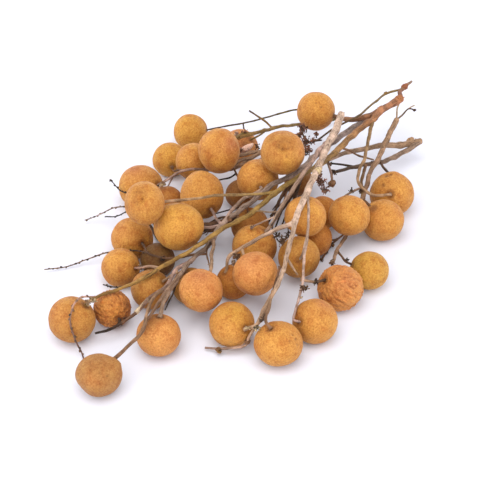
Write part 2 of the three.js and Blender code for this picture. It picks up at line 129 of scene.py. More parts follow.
# ---- fruits, one by one ------------------------------------------------------------------------
# Number, the point that its twig comes from, its colour, how wrinkled it is, and its width and height
# against the ball that fits its solid.
FRUITS = [
    (1, (-19, 102, 14), YELLOW_GOLD, 0.0, 1.02, 1.02),
    (2, (-42.5, 53, 14), YELLOW_GOLD, 0.0, 1.02, 1.02),
    (3, (71, 84, 33), GOLDEN, 0.0, 1.01, 1.00),
    (4, (-4, 58, 37), GOLDEN, 0.0, 0.97, 1.06),
    (5, (-16, 47, 21), GOLDEN, 0.0, 1.00, 1.02),
    (6, (35, 25, 34), DEEP_GOLD, 0.0, 1.01, 1.03),
    (7, (11, 80, 24), BLUSH, 0.1, 1.02, 1.0),
    (8, (-48, 30, 20), GOLDEN, 0.0, 1.04, 1.02),
    (9, (-42, -23, 46), WARM_GOLD, 0.0, 0.96, 1.05),
    (10, (-16, 0, 21), GOLDEN, 0.0, 0.97, 1.02),
    (11, (-21, -21, 26), LIGHT_GOLD, 0.0, 1.08, 1.00),
    (12, (-52, -30, 18), GOLDEN, 0.0, 1.0, 1.0),
    (13, (-46, 30, 21), SHADED_RUSSET, 0.0, 1.0, 1.0),
    (14, (-56, -46, 15), GOLDEN, 0.0, 1.02, 1.03),
    (15, (-44, -42, 18), OLIVE_SHADE, 0.4, 1.0, 1.0),
    (16, (-41, -62, 21), DULL_GOLD, 0.0, 1.0, 1.0),
    (17, (-82, -85, 24), DEEP_GOLD, 0.0, 1.02, 1.0),
    (18, (-65, -87, 10), DRY_GOLD, 3.8, 1.0, 1.05),
    (19, (-64, -122, 19), TAWNY, 0.0, 1.02, 0.93),
    (20, (-43, -94, 25), BLUSH, 0.0, 1.02, 1.0),
    (21, (-15, -65, 31), BLUSH, 0.0, 1.02, 1.03),
    (22, (-10, -53, 20), RUSSET, 0.0, 1.0, 1.0),
    (23, (2, -52, 29), BLUSH, 0.0, 1.03, 1.03),
    (24, (17, -24, 28), GOLDEN, 0.0, 1.05, 1.03),
    (25, (5, -101, 17), GOLDEN, 0.0, 1.02, 1.03),
    (26, (15, -105, 26), GOLDEN, 0.0, 1.05, 0.97),
    (27, (30, -95, 18), GOLDEN, 0.1, 1.02, 1.03),
    (28, (34, -50, 24), SOFT_GOLD, 0.0, 1.02, 1.03),
    (29, (39, -16, 46), GOLDEN, 0.0, 1.02, 1.02),
    (30, (56, -7, 5), RUSSET, 0.0, 1.0, 1.0),
    (31, (74, 9, 20), GOLDEN, 0.0, 1.03, 1.0),
    (32, (79, 2, 24), GOLDEN, 0.0, 1.04, 1.02),
    (33, (91, 16, 23), GOLDEN, 0.1, 1.02, 1.02),
    (34, (45, -61, 21), BLUSH, 3.4, 1.03, 1.03),
    (35, (63, -43, 16), OLIVE_YELLOW, 0.0, 1.06, 1.02),
    (36, (13, 9, 31), GOLDEN, 0.0, 1.02, 1.0),
    (37, (1, 45, 15), DEEP_SHADE, 0.0, 1.0, 1.0),
    (38, (5, -3, 26), SHADED_GOLD, 0.0, 1.0, 1.0),
    (39, (61, 22, 14), RUSSET, 0.3, 1.0, 1.0),
    (40, (-31, -55, 23), SHADED_OLIVE, 0.0, 1.0, 1.0),
    (41, (48, 51, 26), DEEPER_SHADE, 0.0, 1.0, 1.0),
]


def bulge(right, up, size, height):
    """A swelling on a fruit, or a hollow below 0, that keeps the fruit's colour."""
    return right, up, size, height, None, 0


def stain(right, up, size, colour, strength, height=0.0):
    """A patch of another colour on a fruit, which can swell as well."""
    return right, up, size, height, colour, strength


# What single fruits show besides. Each mark says how far right and up on the fruit it is, as the camera
# sees it, then its size. These and its height are in the fruit's radii.
MARKS = {
    1: [stain(-0.3, 0.3, 0.6, YELLOW_GOLD, 0.4)],
    3: [stain(0.45, -0.65, 0.55, RUSSET, 0.7), stain(0.2, 0.1, 0.05, BROWN_SPOT, 0.8, -0.01),
        stain(-0.05, 0.3, 0.04, BROWN_SPOT, 0.7, -0.01)],
    4: [stain(0.62, 0.25, 0.45, PINK_BLUSH, 0.75), bulge(0.5, 0.75, 0.5, 0.04),
        stain(-0.5, -0.7, 0.5, RUSSET, 0.4, -0.03)],
    5: [bulge(-0.2, 0.6, 0.5, 0.03)],
    # Fruit 6: the dark russet ring round its hollow is painted shade.
    6: [bulge(0.02, 0.10, 0.52, 0.08), stain(0.02, 0.12, 0.27, YELLOW_GOLD, 0.3, -0.28),
        stain(0.0, 0.12, 0.10, BROWN_SPOT, 0.75, -0.03), stain(-0.30, 0.28, 0.15, PAINTED_SHADE_RUSSET, 0.36),
        stain(-0.16, 0.44, 0.16, PAINTED_SHADE_RUSSET, 0.40), stain(0.06, 0.48, 0.16, PAINTED_SHADE_RUSSET, 0.38),
        stain(0.27, 0.40, 0.15, PAINTED_SHADE_RUSSET, 0.36), stain(0.34, 0.18, 0.12, PAINTED_SHADE_RUSSET, 0.25),
        stain(0.10, -0.42, 0.30, YELLOW_GOLD, 0.6, 0.03), stain(0.22, 0.12, 0.07, BROWN_SPOT, 0.6, -0.01),
        stain(-0.2, 0.18, 0.08, BROWN_SPOT, 0.45, -0.01), stain(0.15, -0.25, 0.05, BROWN_SPOT, 0.5, -0.01),
        bulge(-0.65, 0.65, 0.35, 0.07), stain(0.7, 0.55, 0.35, RUSSET, 0.4, 0.05),
        stain(0.85, -0.1, 0.35, BLUSH, 0.8)],
    7: [stain(0.1, -0.2, 0.5, PINK_BLUSH, 0.7, -0.05), stain(0.3, 0.1, 0.2, BROWN_SPOT, 0.6, -0.04)],
    8: [stain(-0.2, 0.75, 0.5, PINK_BLUSH, 0.6), stain(-0.75, -0.2, 0.5, YELLOW_GOLD, 0.4)],
    # Fruit 9: the dark russet ring and the russet patch on the left inside its hollow are painted shade, and
    # the broad pale yellow stain over its rim is a painted highlight.
    9: [stain(-0.02, 0.10, 0.55, YELLOW_GOLD, 0.3, 0.09), stain(-0.05, 0.15, 0.27, YELLOW_GOLD, 0.3, -0.30),
        stain(-0.06, 0.18, 0.09, BROWN_SPOT, 0.75, -0.03), stain(-0.36, 0.22, 0.15, PAINTED_SHADE_RUSSET, 0.38),
        stain(-0.28, 0.38, 0.15, PAINTED_SHADE_RUSSET, 0.38), stain(-0.35, 0.04, 0.14, PAINTED_SHADE_RUSSET, 0.34),
        stain(-0.12, 0.46, 0.16, PAINTED_SHADE_RUSSET, 0.34), stain(-0.24, -0.10, 0.12, PAINTED_SHADE_RUSSET, 0.26),
        stain(0.06, 0.45, 0.14, PAINTED_SHADE_RUSSET, 0.28), stain(0.20, 0.32, 0.13, PAINTED_SHADE_RUSSET, 0.24),
        stain(-0.22, 0.20, 0.16, RUSSET, 0.6), bulge(-0.50, 0.62, 0.30, 0.07),
        bulge(0.35, 0.72, 0.28, 0.06), bulge(0.0, -0.75, 0.4, 0.05), bulge(0.75, 0.1, 0.3, 0.04)],
    10: [bulge(-0.15, 0.95, 0.5, 0.09), stain(0.6, -0.5, 0.5, RUSSET, 0.8), bulge(0.3, -0.95, 0.4, 0.05)],
    11: [bulge(-0.55, 0.68, 0.38, 0.11), bulge(0.75, 0.2, 0.6, 0.05), stain(0.5, -0.6, 0.6, RUSSET, 0.5),
         stain(-0.2, 0.95, 0.12, BROWN_SPOT, 0.4, -0.03)],
    12: [stain(-0.3, 0.5, 0.5, BLUSH, 0.5), stain(0.6, -0.6, 0.5, RUSSET, 0.7)],
    14: [stain(0.85, 0.1, 0.25, RUSSET, 0.7, -0.03), stain(0.93, -0.05, 0.07, BLACK_SPOT, 0.9, -0.03),
         stain(0.88, 0.25, 0.05, BLACK_SPOT, 0.8, -0.02)],
    16: [stain(0.4, -0.3, 0.6, RUSSET, 0.5)],
    17: [stain(0.2, 0.42, 0.05, BLACK_SPOT, 0.8, -0.01), stain(-0.55, 0.5, 0.5, BLUSH, 0.5),
         stain(-0.7, 0.62, 0.04, BROWN_SPOT, 0.8, -0.01), stain(0.35, 0.62, 0.3, RUSSET, 0.5, 0.07)],
    18: [stain(0.2, -0.2, 0.5, RUSSET, 0.7), stain(0.75, -0.55, 0.18, BLACK_SPOT, 0.85, -0.05),
         stain(0.85, 0.2, 0.3, BROWN_SPOT, 0.6), stain(-0.35, 0.4, 0.3, GOLDEN, 0.6, 0.06)],
    19: [bulge(0.74, 0.62, 0.38, 0.17), bulge(-0.05, 0.95, 0.5, -0.05), bulge(0.62, -0.62, 0.5, -0.09),
         bulge(-0.66, -0.62, 0.5, -0.06), stain(0.15, 0.25, 0.04, BROWN_SPOT, 0.8, -0.015),
         stain(0.45, 0.1, 0.05, BROWN_SPOT, 0.6, -0.02), stain(-0.2, -0.1, 0.35, BLUSH, 0.4, -0.02),
         stain(0.85, 0.52, 0.10, BROWN_SPOT, 0.7, 0.02)],
    # Fruit 20: the dark russet on its upper side is the painted shadow of the stems that lie over it.
    20: [stain(-0.45, 0.6, 0.5, PAINTED_SHADE_RUSSET, 0.8), stain(-0.05, 0.85, 0.4, PAINTED_SHADE_RUSSET, 0.6),
         stain(0.5, 0.2, 0.6, BLUSH, 0.7), stain(0.1, 0.95, 0.2, BROWN_SPOT, 0.8, -0.05)],
    21: [stain(0.0, 0.75, 0.5, PINK_BLUSH, 0.6), bulge(0.6, 0.65, 0.35, 0.05),
         stain(-0.35, -0.6, 0.5, GOLDEN, 0.7), stain(0.75, -0.5, 0.4, RUSSET, 0.6)],
    23: [stain(-0.3, 0.5, 0.6, PINK_BLUSH, 0.35), stain(0.7, -0.3, 0.5, BLUSH, 0.7)],
    24: [stain(-0.1, 0.5, 0.5, GOLDEN, 0.5), stain(0.8, -0.1, 0.4, BLUSH, 0.5)],
    25: [stain(0.1, 0.55, 0.6, OLIVE_GOLD, 0.7), stain(0.75, 0.1, 0.4, RUSSET, 0.6, -0.02),
         stain(-0.05, -0.75, 0.07, BROWN_SPOT, 0.7, -0.01),
         stain(0.15, -0.82, 0.05, BROWN_SPOT, 0.7, -0.01), stain(0.0, -0.65, 0.6, GOLDEN, 0.5)],
    26: [stain(-0.4, 0.75, 0.25, RUSSET, 0.6, -0.05), stain(0.55, 0.45, 0.06, BROWN_SPOT, 0.6, -0.02),
         stain(0.68, 0.25, 0.06, BROWN_SPOT, 0.7, -0.02), stain(0.45, 0.2, 0.05, BROWN_SPOT, 0.5, -0.02),
         stain(0.75, 0.0, 0.06, BROWN_SPOT, 0.6, -0.02), bulge(0.6, 0.7, 0.3, 0.03)],
    27: [stain(-0.75, 0.35, 0.35, RUSSET, 0.6, -0.03), stain(0.3, 0.8, 0.4, PINK_BLUSH, 0.5),
         bulge(-0.1, 0.85, 0.3, 0.05)],
    28: [stain(0.3, 0.2, 0.5, GOLDEN, 0.5), stain(-0.6, -0.5, 0.4, GREEN_CAST, 0.2)],
    29: [stain(0.6, 0.2, 0.35, YELLOW_GOLD, 0.6), stain(-0.5, -0.5, 0.5, RUSSET, 0.5)],
    31: [stain(-0.4, 0.85, 0.25, RUSSET, 0.8, -0.02), stain(-0.55, 0.75, 0.05, BLACK_SPOT, 0.9, 0.02),
         stain(-0.25, 0.93, 0.05, BLACK_SPOT, 0.9, 0.02), stain(0.3, -0.1, 0.6, YELLOW_GOLD, 0.4),
         stain(0.15, -0.8, 0.4, RUSSET, 0.5)],
    32: [stain(-0.5, 0.4, 0.5, RUSSET, 0.5), stain(0.6, 0.5, 0.4, BLUSH, 0.5),
         bulge(0.0, -0.62, 0.14, 0.025), bulge(0.35, -0.6, 0.14, 0.025), bulge(-0.35, -0.6, 0.14, 0.025),
         bulge(-0.7, 0.55, 0.4, 0.04)],
    33: [stain(-0.30, 0.80, 0.10, BROWN_SPOT, 0.9, -0.03), stain(-0.10, 0.85, 0.07, BROWN_SPOT, 0.8, -0.02),
         stain(-0.50, 0.38, 0.10, BROWN_SPOT, 0.8, -0.02), stain(-0.55, 0.05, 0.3, RUSSET, 0.6, -0.03),
         bulge(0.1, 0.95, 0.3, 0.06), stain(0.75, 0.3, 0.4, GOLDEN, 0.4, 0.03),
         stain(-0.12, 0.05, 0.16, RUSSET, 0.6, -0.04)],
    34: [stain(-0.75, 0.35, 0.30, RUSSET, 0.8, -0.12), stain(-0.55, -0.55, 0.35, RUSSET, 0.5, 0.03),
         stain(0.35, 0.35, 0.5, PINK_BLUSH, 0.4), bulge(-0.6, 0.75, 0.3, 0.06)],
    35: [stain(0.3, 0.1, 0.6, YELLOW_GOLD, 0.3), stain(-0.7, 0.4, 0.4, GREEN_CAST, 0.4, 0.02)],
    36: [stain(-0.2, 0.5, 0.6, GOLDEN, 0.5), stain(-0.6, -0.2, 0.5, RUSSET, 0.4)],
    40: [stain(-0.2, -0.4, 0.7, GREEN_CAST, 0.3)],
}

# The fruits that show least and keep a coarser mesh, and how often either kind's ball is divided.
HIDDEN_FRUITS = (1, 2, 5, 12, 13, 14, 15, 22, 30, 36, 37, 38, 39, 40, 41)
HIDDEN_DETAIL = 5
FINE_DETAIL = 6

# Splinters: their lengths in shares, their thickness at both ends, how deep they start and the first one's
# turn, in millimetres and radians.
SPLINTER_REACHES = (1.0, 0.55, 0.8, 0.35)
SPLINTER_WIDTHS = (1.3, 0.6)
SPLINTER_ROOT = 2.5
SPLINTER_TURN = 0.4


def twig(width, end_width, route, colour, end_colour=None, fruit=None, budded=False):
    """One twig: its thickness at both ends, its route, its colour at both ends, and what it carries."""
    return {
        "width": width, "end_width": end_width, "route": route, "colour": colour,
        "end_colour": end_colour or colour, "fruit": fruit, "budded": budded,
    }


def splinters(spot, heading, spread, length, colour):
    """Four thin, uneven points of wood that stick out of a broken end, that far apart."""
    spot, heading = Vector(spot), Vector(heading).normalized()
    side = heading.orthogonal().normalized()
    points = []
    for number, reach in enumerate(SPLINTER_REACHES):
        angle = 2 * math.pi * number / len(SPLINTER_REACHES) + SPLINTER_TURN
        root = spot + Matrix.Rotation(angle, 3, heading) @ side * spread
        route = [tuple(root - heading * SPLINTER_ROOT), tuple(root + heading * length * reach)]
        points.append(twig(*SPLINTER_WIDTHS, route, colour))
    return points


# ---- stems: the routes of the solids, with their colours ---------------------------------------
MIDDLE_STEM = [
    twig(5, 2.8, [(107, 110, 33), (97, 99, 34), (88, 89, 35), (80, 83, 35.5), (71, 84, 33)],
         ORANGE_WOOD, BROWN_WOOD, fruit=3),
    twig(3.5, 1.5, [(107, 110, 33), (107, 118, 33), (112, 128, 32), (117, 136, 31)], REDWOOD, TAN_WOOD),
    twig(1.5, 1.1, [(108.5, 122, 33), (101.7, 117.8, 34), (96.3, 111.7, 35.5), (88.8, 98.6, 38), (78, 81, 40),
                    (73, 75, 40), (66, 72, 38), (59, 70, 35), (48, 61, 32), (42, 60, 32)],
         OLIVE_WOOD, DRY_BROWN),
    twig(1.1, 1, [(42, 60, 32), (40, 67, 33), (40, 73, 34)], DRY_BROWN),
    twig(1.1, 1, [(42, 60, 32), (41, 54, 32), (42, 47, 32)], DRY_BROWN),
    twig(1.2, 1, [(42, 60, 32), (47, 57, 34.5), (51, 54, 37)], DRY_BROWN),
    twig(4.4, 3.2, [(93, 95, 35), (86, 81, 36), (76, 67, 37), (62, 46, 37), (53, 32, 37), (39, 17, 38)],
         ORANGE_WOOD, OLIVE_WOOD),
    twig(3.3, 1.7, [(39, 17, 38), (22, -1, 37), (5, -17, 32), (-13, -31, 30), (-28, -47, 29), (-45, -59, 26),
                    (-61, -70, 23), (-77, -79, 23), (-82, -85, 24)], OLIVE_WOOD, YELLOW_WOOD, fruit=17),
    twig(1.8, 1.5, [(22, -1, 37), (11, -5, 38), (-1, -8, 40), (-13, -12, 42), (-28, -18, 44)],
         OLIVE_WOOD, TAN_WOOD, fruit=9),
    twig(2.4, 1.6, [(86, 81, 36), (82, 64, 35), (78, 44, 32), (73, 31, 29), (73, 23, 26), (80, 17, 22),
                    (91, 15, 23)], OLIVE_BROWN, TAN_WOOD, fruit=33),
    twig(1.6, 1.3, [(-45, -59, 26), (-50, -56, 25), (-56, -51, 20)], TAN_WOOD, DRY_PINK, fruit=14),
    twig(0.78, 0.7, [(-64, -71, 23), (-70, -67, 19), (-77, -60, 15)], DRY_BLACK, budded=True),
    twig(1.0, 0.85, [(-79, -81, 24), (-87, -87, 28), (-91, -97, 23), (-89, -101, 12), (-86, -102, 2.4),
                     (-84.5, -106, 1.7)], PINK_STALK, BROWN_STALK, budded=True),
    twig(1.3, 1.1, [(62, 46, 37), (67, 46, 35), (76, 48, 29), (84, 50, 25)], BROWN_WOOD),
    twig(1.6, 1.3, [(53, 32, 37), (55, 27, 33), (56, 24, 30), (56, 21, 28)], PINK_GREY, BROWN_WOOD),
    *splinters((106, 110, 33), (6, 7, 0), 1.5, 3.5, ORANGE_WOOD),
    *splinters((92, 94.5, 35), (5, 6, 0), 1.3, 3.0, PINK_GREY),
]
MIDDLE_KNOBS = [((105, 108, 34), 3.1, ORANGE_WOOD), ((111, 125.5, 33), 2.5, REDWOOD),
                ((56, 20.5, 27.5), 2.5, BROWN_WOOD), ((96.6, 112.2, 36), 1.3, OLIVE_BROWN)]

GREY_STEM = [
    twig(4, 2.2, [(86, 94, 30), (70, 73, 32), (53, 50, 34), (40, 31, 34), (30, 20, 33), (21, 13, 33),
                  (6, -1, 29), (-11, -18, 25), (-17, -32, 23), (-28, -49, 23), (-35, -67, 24),
                  (-41, -85, 25)], GREY_WOOD, GREY_BROWN, fruit=20),
    twig(2.4, 1.8, [(14, 9, 32), (10, 7, 30), (3.5, 4.5, 29), (-2.5, -3, 28), (-9.5, -15.5, 25.5),
                    (-13, -22, 24)], GREY_BROWN, PINK_GREY),
    twig(1.5, 1.3, [(53, 50, 34), (50, 51, 29)], GREY_BROWN, BROWN_WOOD, fruit=41),
    twig(2.4, 1.8, [(-28, -49, 23), (-36, -57, 23), (-41, -66, 19), (-50, -74, 17), (-57, -81, 13),
                    (-65, -87, 10)], PINK_GREY, BROWN_WOOD),
    twig(2.3, 2.5, [(-50.5, -74.5, 16.7), (-54, -78, 14.7), (-57.5, -81.5, 12.8)],
         GREY_BROWN, PEELED_WOOD),
    twig(1.8, 1.2, [(-65, -87, 10), (-74, -91, 8), (-79, -93, 8)], DRY_BROWN, DRY_BLACK),
    twig(1.8, 2, [(-44, -69, 18), (-48, -81, 22), (-50, -96, 24), (-52, -109, 23), (-57, -116, 22)],
         TAN_WOOD, BROWN_WOOD, fruit=19),
    twig(1.8, 1.5, [(-11, -18, 25), (-14, -8, 23)], PINK_GREY, fruit=10),
    twig(1.8, 1.5, [(-11, -18, 25), (-16, -20, 25)], PINK_GREY, fruit=11),
    twig(2.2, 1.8, [(-16, -29, 24), (-15, -37, 26), (-16, -49, 27), (-16, -60, 29)],
         GREY_BROWN, TAN_WOOD, fruit=21),
    twig(1.5, 1.3, [(-35, -58, 23), (-38, -60, 22)], TAN_WOOD, fruit=16),
    twig(1.4, 1.2, [(-65, -87, 10), (-66, -85, 10)], DRY_BROWN, fruit=18),
    twig(1.8, 1.5, [(36, 26, 34)], GREY_WOOD, fruit=6),
    twig(1.5, 1.3, [(13, 6, 31)], GREY_WOOD, fruit=36),
    twig(1.5, 1.3, [(4, -3, 28)], BROWN_WOOD, fruit=38),
    twig(1.4, 1.2, [(-31, -57, 23)], TAN_WOOD, fruit=40),
]

PALE_STEM = [
    twig(4.8, 3.3, [(64, 70, 46), (60, 54, 46), (53, 33, 47), (47, 12, 47), (40, -11, 47), (34, -28, 45),
                    (30.5, -40, 43)], PALE_WOOD, PALE_WOOD),
    twig(2.7, 2.2, [(31, -38, 43.4), (29.5, -46, 42), (26, -61, 37), (22, -74, 31), (14.5, -88, 25),
                    (9, -98, 19)], PALE_WOOD, TAN_WOOD, fruit=25),
    twig(1.8, 1.6, [(18, -81, 28), (15.5, -92, 26), (13.5, -102, 25)], TAN_WOOD, BROWN_WOOD, fruit=26),
    twig(2.6, 1.8, [(30, -40, 43), (20, -39, 38), (9, -40, 31), (1, -43, 28), (-6, -47, 25)],
         PALE_WOOD, TAN_WOOD, fruit=22),
    twig(1.5, 1.3, [(39, -16, 47), (39, -31, 42), (38, -43, 38), (36, -56, 33), (34, -74, 26), (30, -88, 20),
                    (29, -93, 18)], PALE_WOOD, PINK_GREY, fruit=27),
    twig(1.4, 1.2, [(25, -61, 37), (29, -64, 31), (32, -66, 27)], PALE_WOOD, TAN_WOOD),
    twig(1.6, 1.3, [(34, -70, 27), (40, -67, 23)], TAN_WOOD, DRY_BROWN, fruit=34),
    twig(1.8, 1.6, [(42, -5, 47), (41, -10, 47)], PALE_WOOD, fruit=29),
    twig(1.8, 1.5, [(1, -43, 28)], TAN_WOOD, fruit=23),
    twig(1.4, 1.2, [(38, -43, 38), (36, -48, 31)], PALE_WOOD, fruit=28),
    twig(1.6, 1.3, [(9, -98, 19), (5, -101, 13), (3, -101, 7), (-3, -102, 6), (-10, -101, 4), (-19, -98, 2)],
         TAN_WOOD, PINK_GREY),
    *splinters((64, 69, 46), (4, 16, 0), 1.3, 3.0, PALE_WOOD),
]
PALE_KNOBS = [((4, -101, 9), 1.7, BROWN_WOOD), ((-12, -101, 3.5), 1.6, BROWN_WOOD),
              ((45.5, 5, 47.5), 2.7, STRAW), ((47, 12, 47), 2.4, PALE_WOOD)]

LEANING_BRANCH = [
    twig(2.8, 2.1, [(52, 34, 47), (47, 24, 49), (44, 16, 49), (37, 2, 48), (30, -10, 43), (23, -18, 36),
                    (19, -22, 30)], PINK_GREY, GREY_BROWN, fruit=24),
    twig(1.1, 1, [(27, -14, 40), (23, -22, 38), (18, -30, 34)], GREY_BROWN, DRY_BROWN),
    twig(1, 1, [(21, -20, 33), (14, -22, 31), (7, -26, 30)], PALE_WOOD, PINK_GREY),
]

RIGHT_STEM = [
    twig(3.8, 2.4, [(103, 95, 26), (95, 75, 24), (89, 59, 22), (83, 46, 21), (78, 28, 20), (75, 17, 19)],
         TAN_WOOD, SHADED_TAN, fruit=31),
    twig(2.2, 1.8, [(75, 17, 19), (76, 35, 21), (79, 46, 24)], OLIVE_BROWN, BROWN_WOOD),
    twig(1.8, 1.6, [(75, 17, 19), (77, 9, 21)], BROWN_WOOD, fruit=32),
    twig(1.5, 1.3, [(78, 28, 20), (70, 26, 18)], GREY_BROWN, fruit=39),
    twig(2.2, 1.9, [(75, 17, 19), (71, 12, 10), (67, 2, 7), (61, -13, 9), (58, -23, 12), (55, -35, 16),
                    (53, -46, 20)], BROWN_WOOD, TAN_WOOD),
    twig(1.2, 1.1, [(67, 2, 7), (59, -4, 4)], BROWN_WOOD, fruit=30),
    twig(1.2, 1.1, [(59, -4, 4), (54.5, -8.5, 2), (51.5, -14, 1.2), (48.5, -21, 1.2)], BROWN_WOOD),
    twig(1.5, 1.3, [(57, -27, 13), (61, -38, 14)], BROWN_WOOD, DRY_BROWN, fruit=35),
    twig(1.2, 1.0, [(103, 95, 26), (107, 99.5, 27), (110, 103.7, 27.5), (112.2, 105.8, 28),
                    (114.2, 105.4, 28), (115.9, 103.5, 28)], OLIVE_BROWN, DRY_BROWN),
    twig(0.9, 0.7, [(112.2, 105.8, 28), (114.5, 108.5, 28), (116.4, 110, 28)], TAN_WOOD, STRAW),
    twig(1.2, 1, [(103, 95, 26), (104, 104, 28), (106, 111, 28)], TAN_WOOD, STRAW),
    *splinters((102.5, 94, 26), (8, 20, 2), 1.1, 2.5, TAN_WOOD),
]
RIGHT_KNOBS = [((115.7, 103.8, 28), 1.1, DRY_BROWN)]

FORKED_END = [
    twig(4.2, 2.4, [(119, 88, 14), (112, 84, 15), (103, 80, 16), (94, 77, 18), (84, 71, 20), (73, 65, 22),
                    (62, 56, 24), (56, 50, 25)], TAN_WOOD, GREY_BROWN),
    twig(3.6, 2, [(119, 88, 14), (110, 78, 14), (103, 72, 14), (94, 64, 15), (86, 58, 17), (72, 48, 21),
                  (60, 37, 25)], GREY_BROWN, DRY_BROWN),
    twig(1.5, 1.1, [(72, 48, 21), (66, 47, 23), (57, 46, 25)], DRY_BROWN, DRY_BLACK),
    twig(1.8, 1.5, [(90, 61, 16), (91, 53, 17), (93, 45, 19)], BROWN_WOOD, DRY_BROWN),
    twig(1.1, 1, [(60, 37, 25), (57, 39, 21), (58, 36, 18)], BROWN_WOOD, DRY_BROWN),
    *splinters((118, 87.5, 14.5), (7, 3, 0), 1.3, 1.5, TAN_WOOD),
]
FORKED_KNOBS = [((112, 86, 15.5), 2.7, TAN_WOOD), ((94, 77, 20), 1.8, GREY_BROWN)]

BACK_TWIG = [
    twig(2.4, 2, [(-1, 62, 34), (10, 73, 30), (17, 83, 26), (26, 96, 20), (41, 112, 12), (59, 126, 5),
                  (66, 131, 4)], YELLOW_WOOD, GREEN_WOOD),
    twig(1.6, 1.4, [(10, 73, 30), (2, 66, 34)], OLIVE_WOOD, fruit=4),
    twig(1.4, 1.2, [(21.5, 89.5, 23), (14, 95, 27), (6, 100, 30)], YELLOW_WOOD, DRY_BROWN),
    twig(1.3, 1.2, [(17, 83, 26), (13, 80, 24)], OLIVE_WOOD, fruit=7),
]

THIN_BACK_TWIG = [
    twig(1.3, 1, [(60, 127, 7.5), (50, 129, 12), (38, 127, 14), (18, 117, 14), (2, 110, 14), (-10, 106, 14)],
         GREEN_WOOD, DRY_BROWN, fruit=1),
    twig(1, 1, [(2, 110, 14), (3, 104, 11)], DRY_BROWN),
]

LEFT_TWIG = [
    twig(2.4, 1.3, [(14, 63, 22), (6, 61, 18), (-4, 53, 16), (-18, 49, 18), (-27, 41, 24), (-35, 37, 26),
                    (-41, 31, 26), (-47, 22, 27)], TAN_WOOD, PINK_GREY),
    twig(1.2, 1.1, [(-41, 31, 26)], PINK_GREY, fruit=8),
    twig(0.94, 0.7, [(-47, 22, 27), (-51, 16, 25), (-63, 14, 16), (-77, 17, 12), (-89, 16, 6), (-96, 16, 3)],
         GREY_BROWN, GREY_WOOD, budded=True),
    twig(0.78, 0.7, [(-63, 14, 16), (-75, 11, 10), (-83, 13, 8)], DRY_BLACK, budded=True),
    twig(0.78, 0.7, [(-47, 22, 27), (-54, 23, 22), (-61, 22, 19.5), (-70, 24, 18), (-74, 28, 17),
                     (-80, 33, 21)], DRY_BROWN, DRY_BLACK, budded=True),
    twig(1.2, 1.1, [(-4, 53, 16)], BROWN_WOOD, fruit=37),
    twig(1.2, 1.1, [(-18, 49, 18)], BROWN_WOOD, fruit=5),
    twig(1.1, 1, [(-41, 31, 26)], PINK_GREY, fruit=13),
    twig(1.1, 1, [(-35, 37, 26), (-39, 45, 20.5), (-42.3, 52.5, 15)], BROWN_WOOD, fruit=2),
    twig(2.6, 2.2, [(14, 63, 22), (6, 58, 25), (0, 54, 26), (-4, 52, 25.5)], TAN_WOOD, GREY_BROWN),
    twig(2.4, 1.9, [(14, 63, 22), (6, 53, 24), (0, 50, 24), (-5, 47, 22)], TAN_WOOD, GREY_BROWN),
    twig(1.9, 1.5, [(14, 63, 22), (14, 54, 24), (6.5, 47.5, 24), (-3, 46.5, 22.5)], PINK_GREY, TAN_WOOD),
]

FAR_LEFT_TWIG = [
    twig(1.5, 1.2, [(-19, -36, 18), (-28, -36, 17), (-37, -41, 19), (-44, -42, 20), (-53, -37, 19.5),
                    (-56, -30, 19.5)], BROWN_WOOD, DRY_BROWN, fruit=12),
    twig(0.86, 0.7, [(-53, -37, 19.5), (-62, -31, 16.5), (-68, -28, 13), (-76, -23, 9), (-81, -22, 7),
                     (-91, -24, 4), (-102, -28, 2), (-115, -32, 3)], DRY_BROWN, GREY_BROWN, budded=True),
    twig(1.2, 1.1, [(-44, -42, 20)], DRY_BROWN, fruit=15),
]

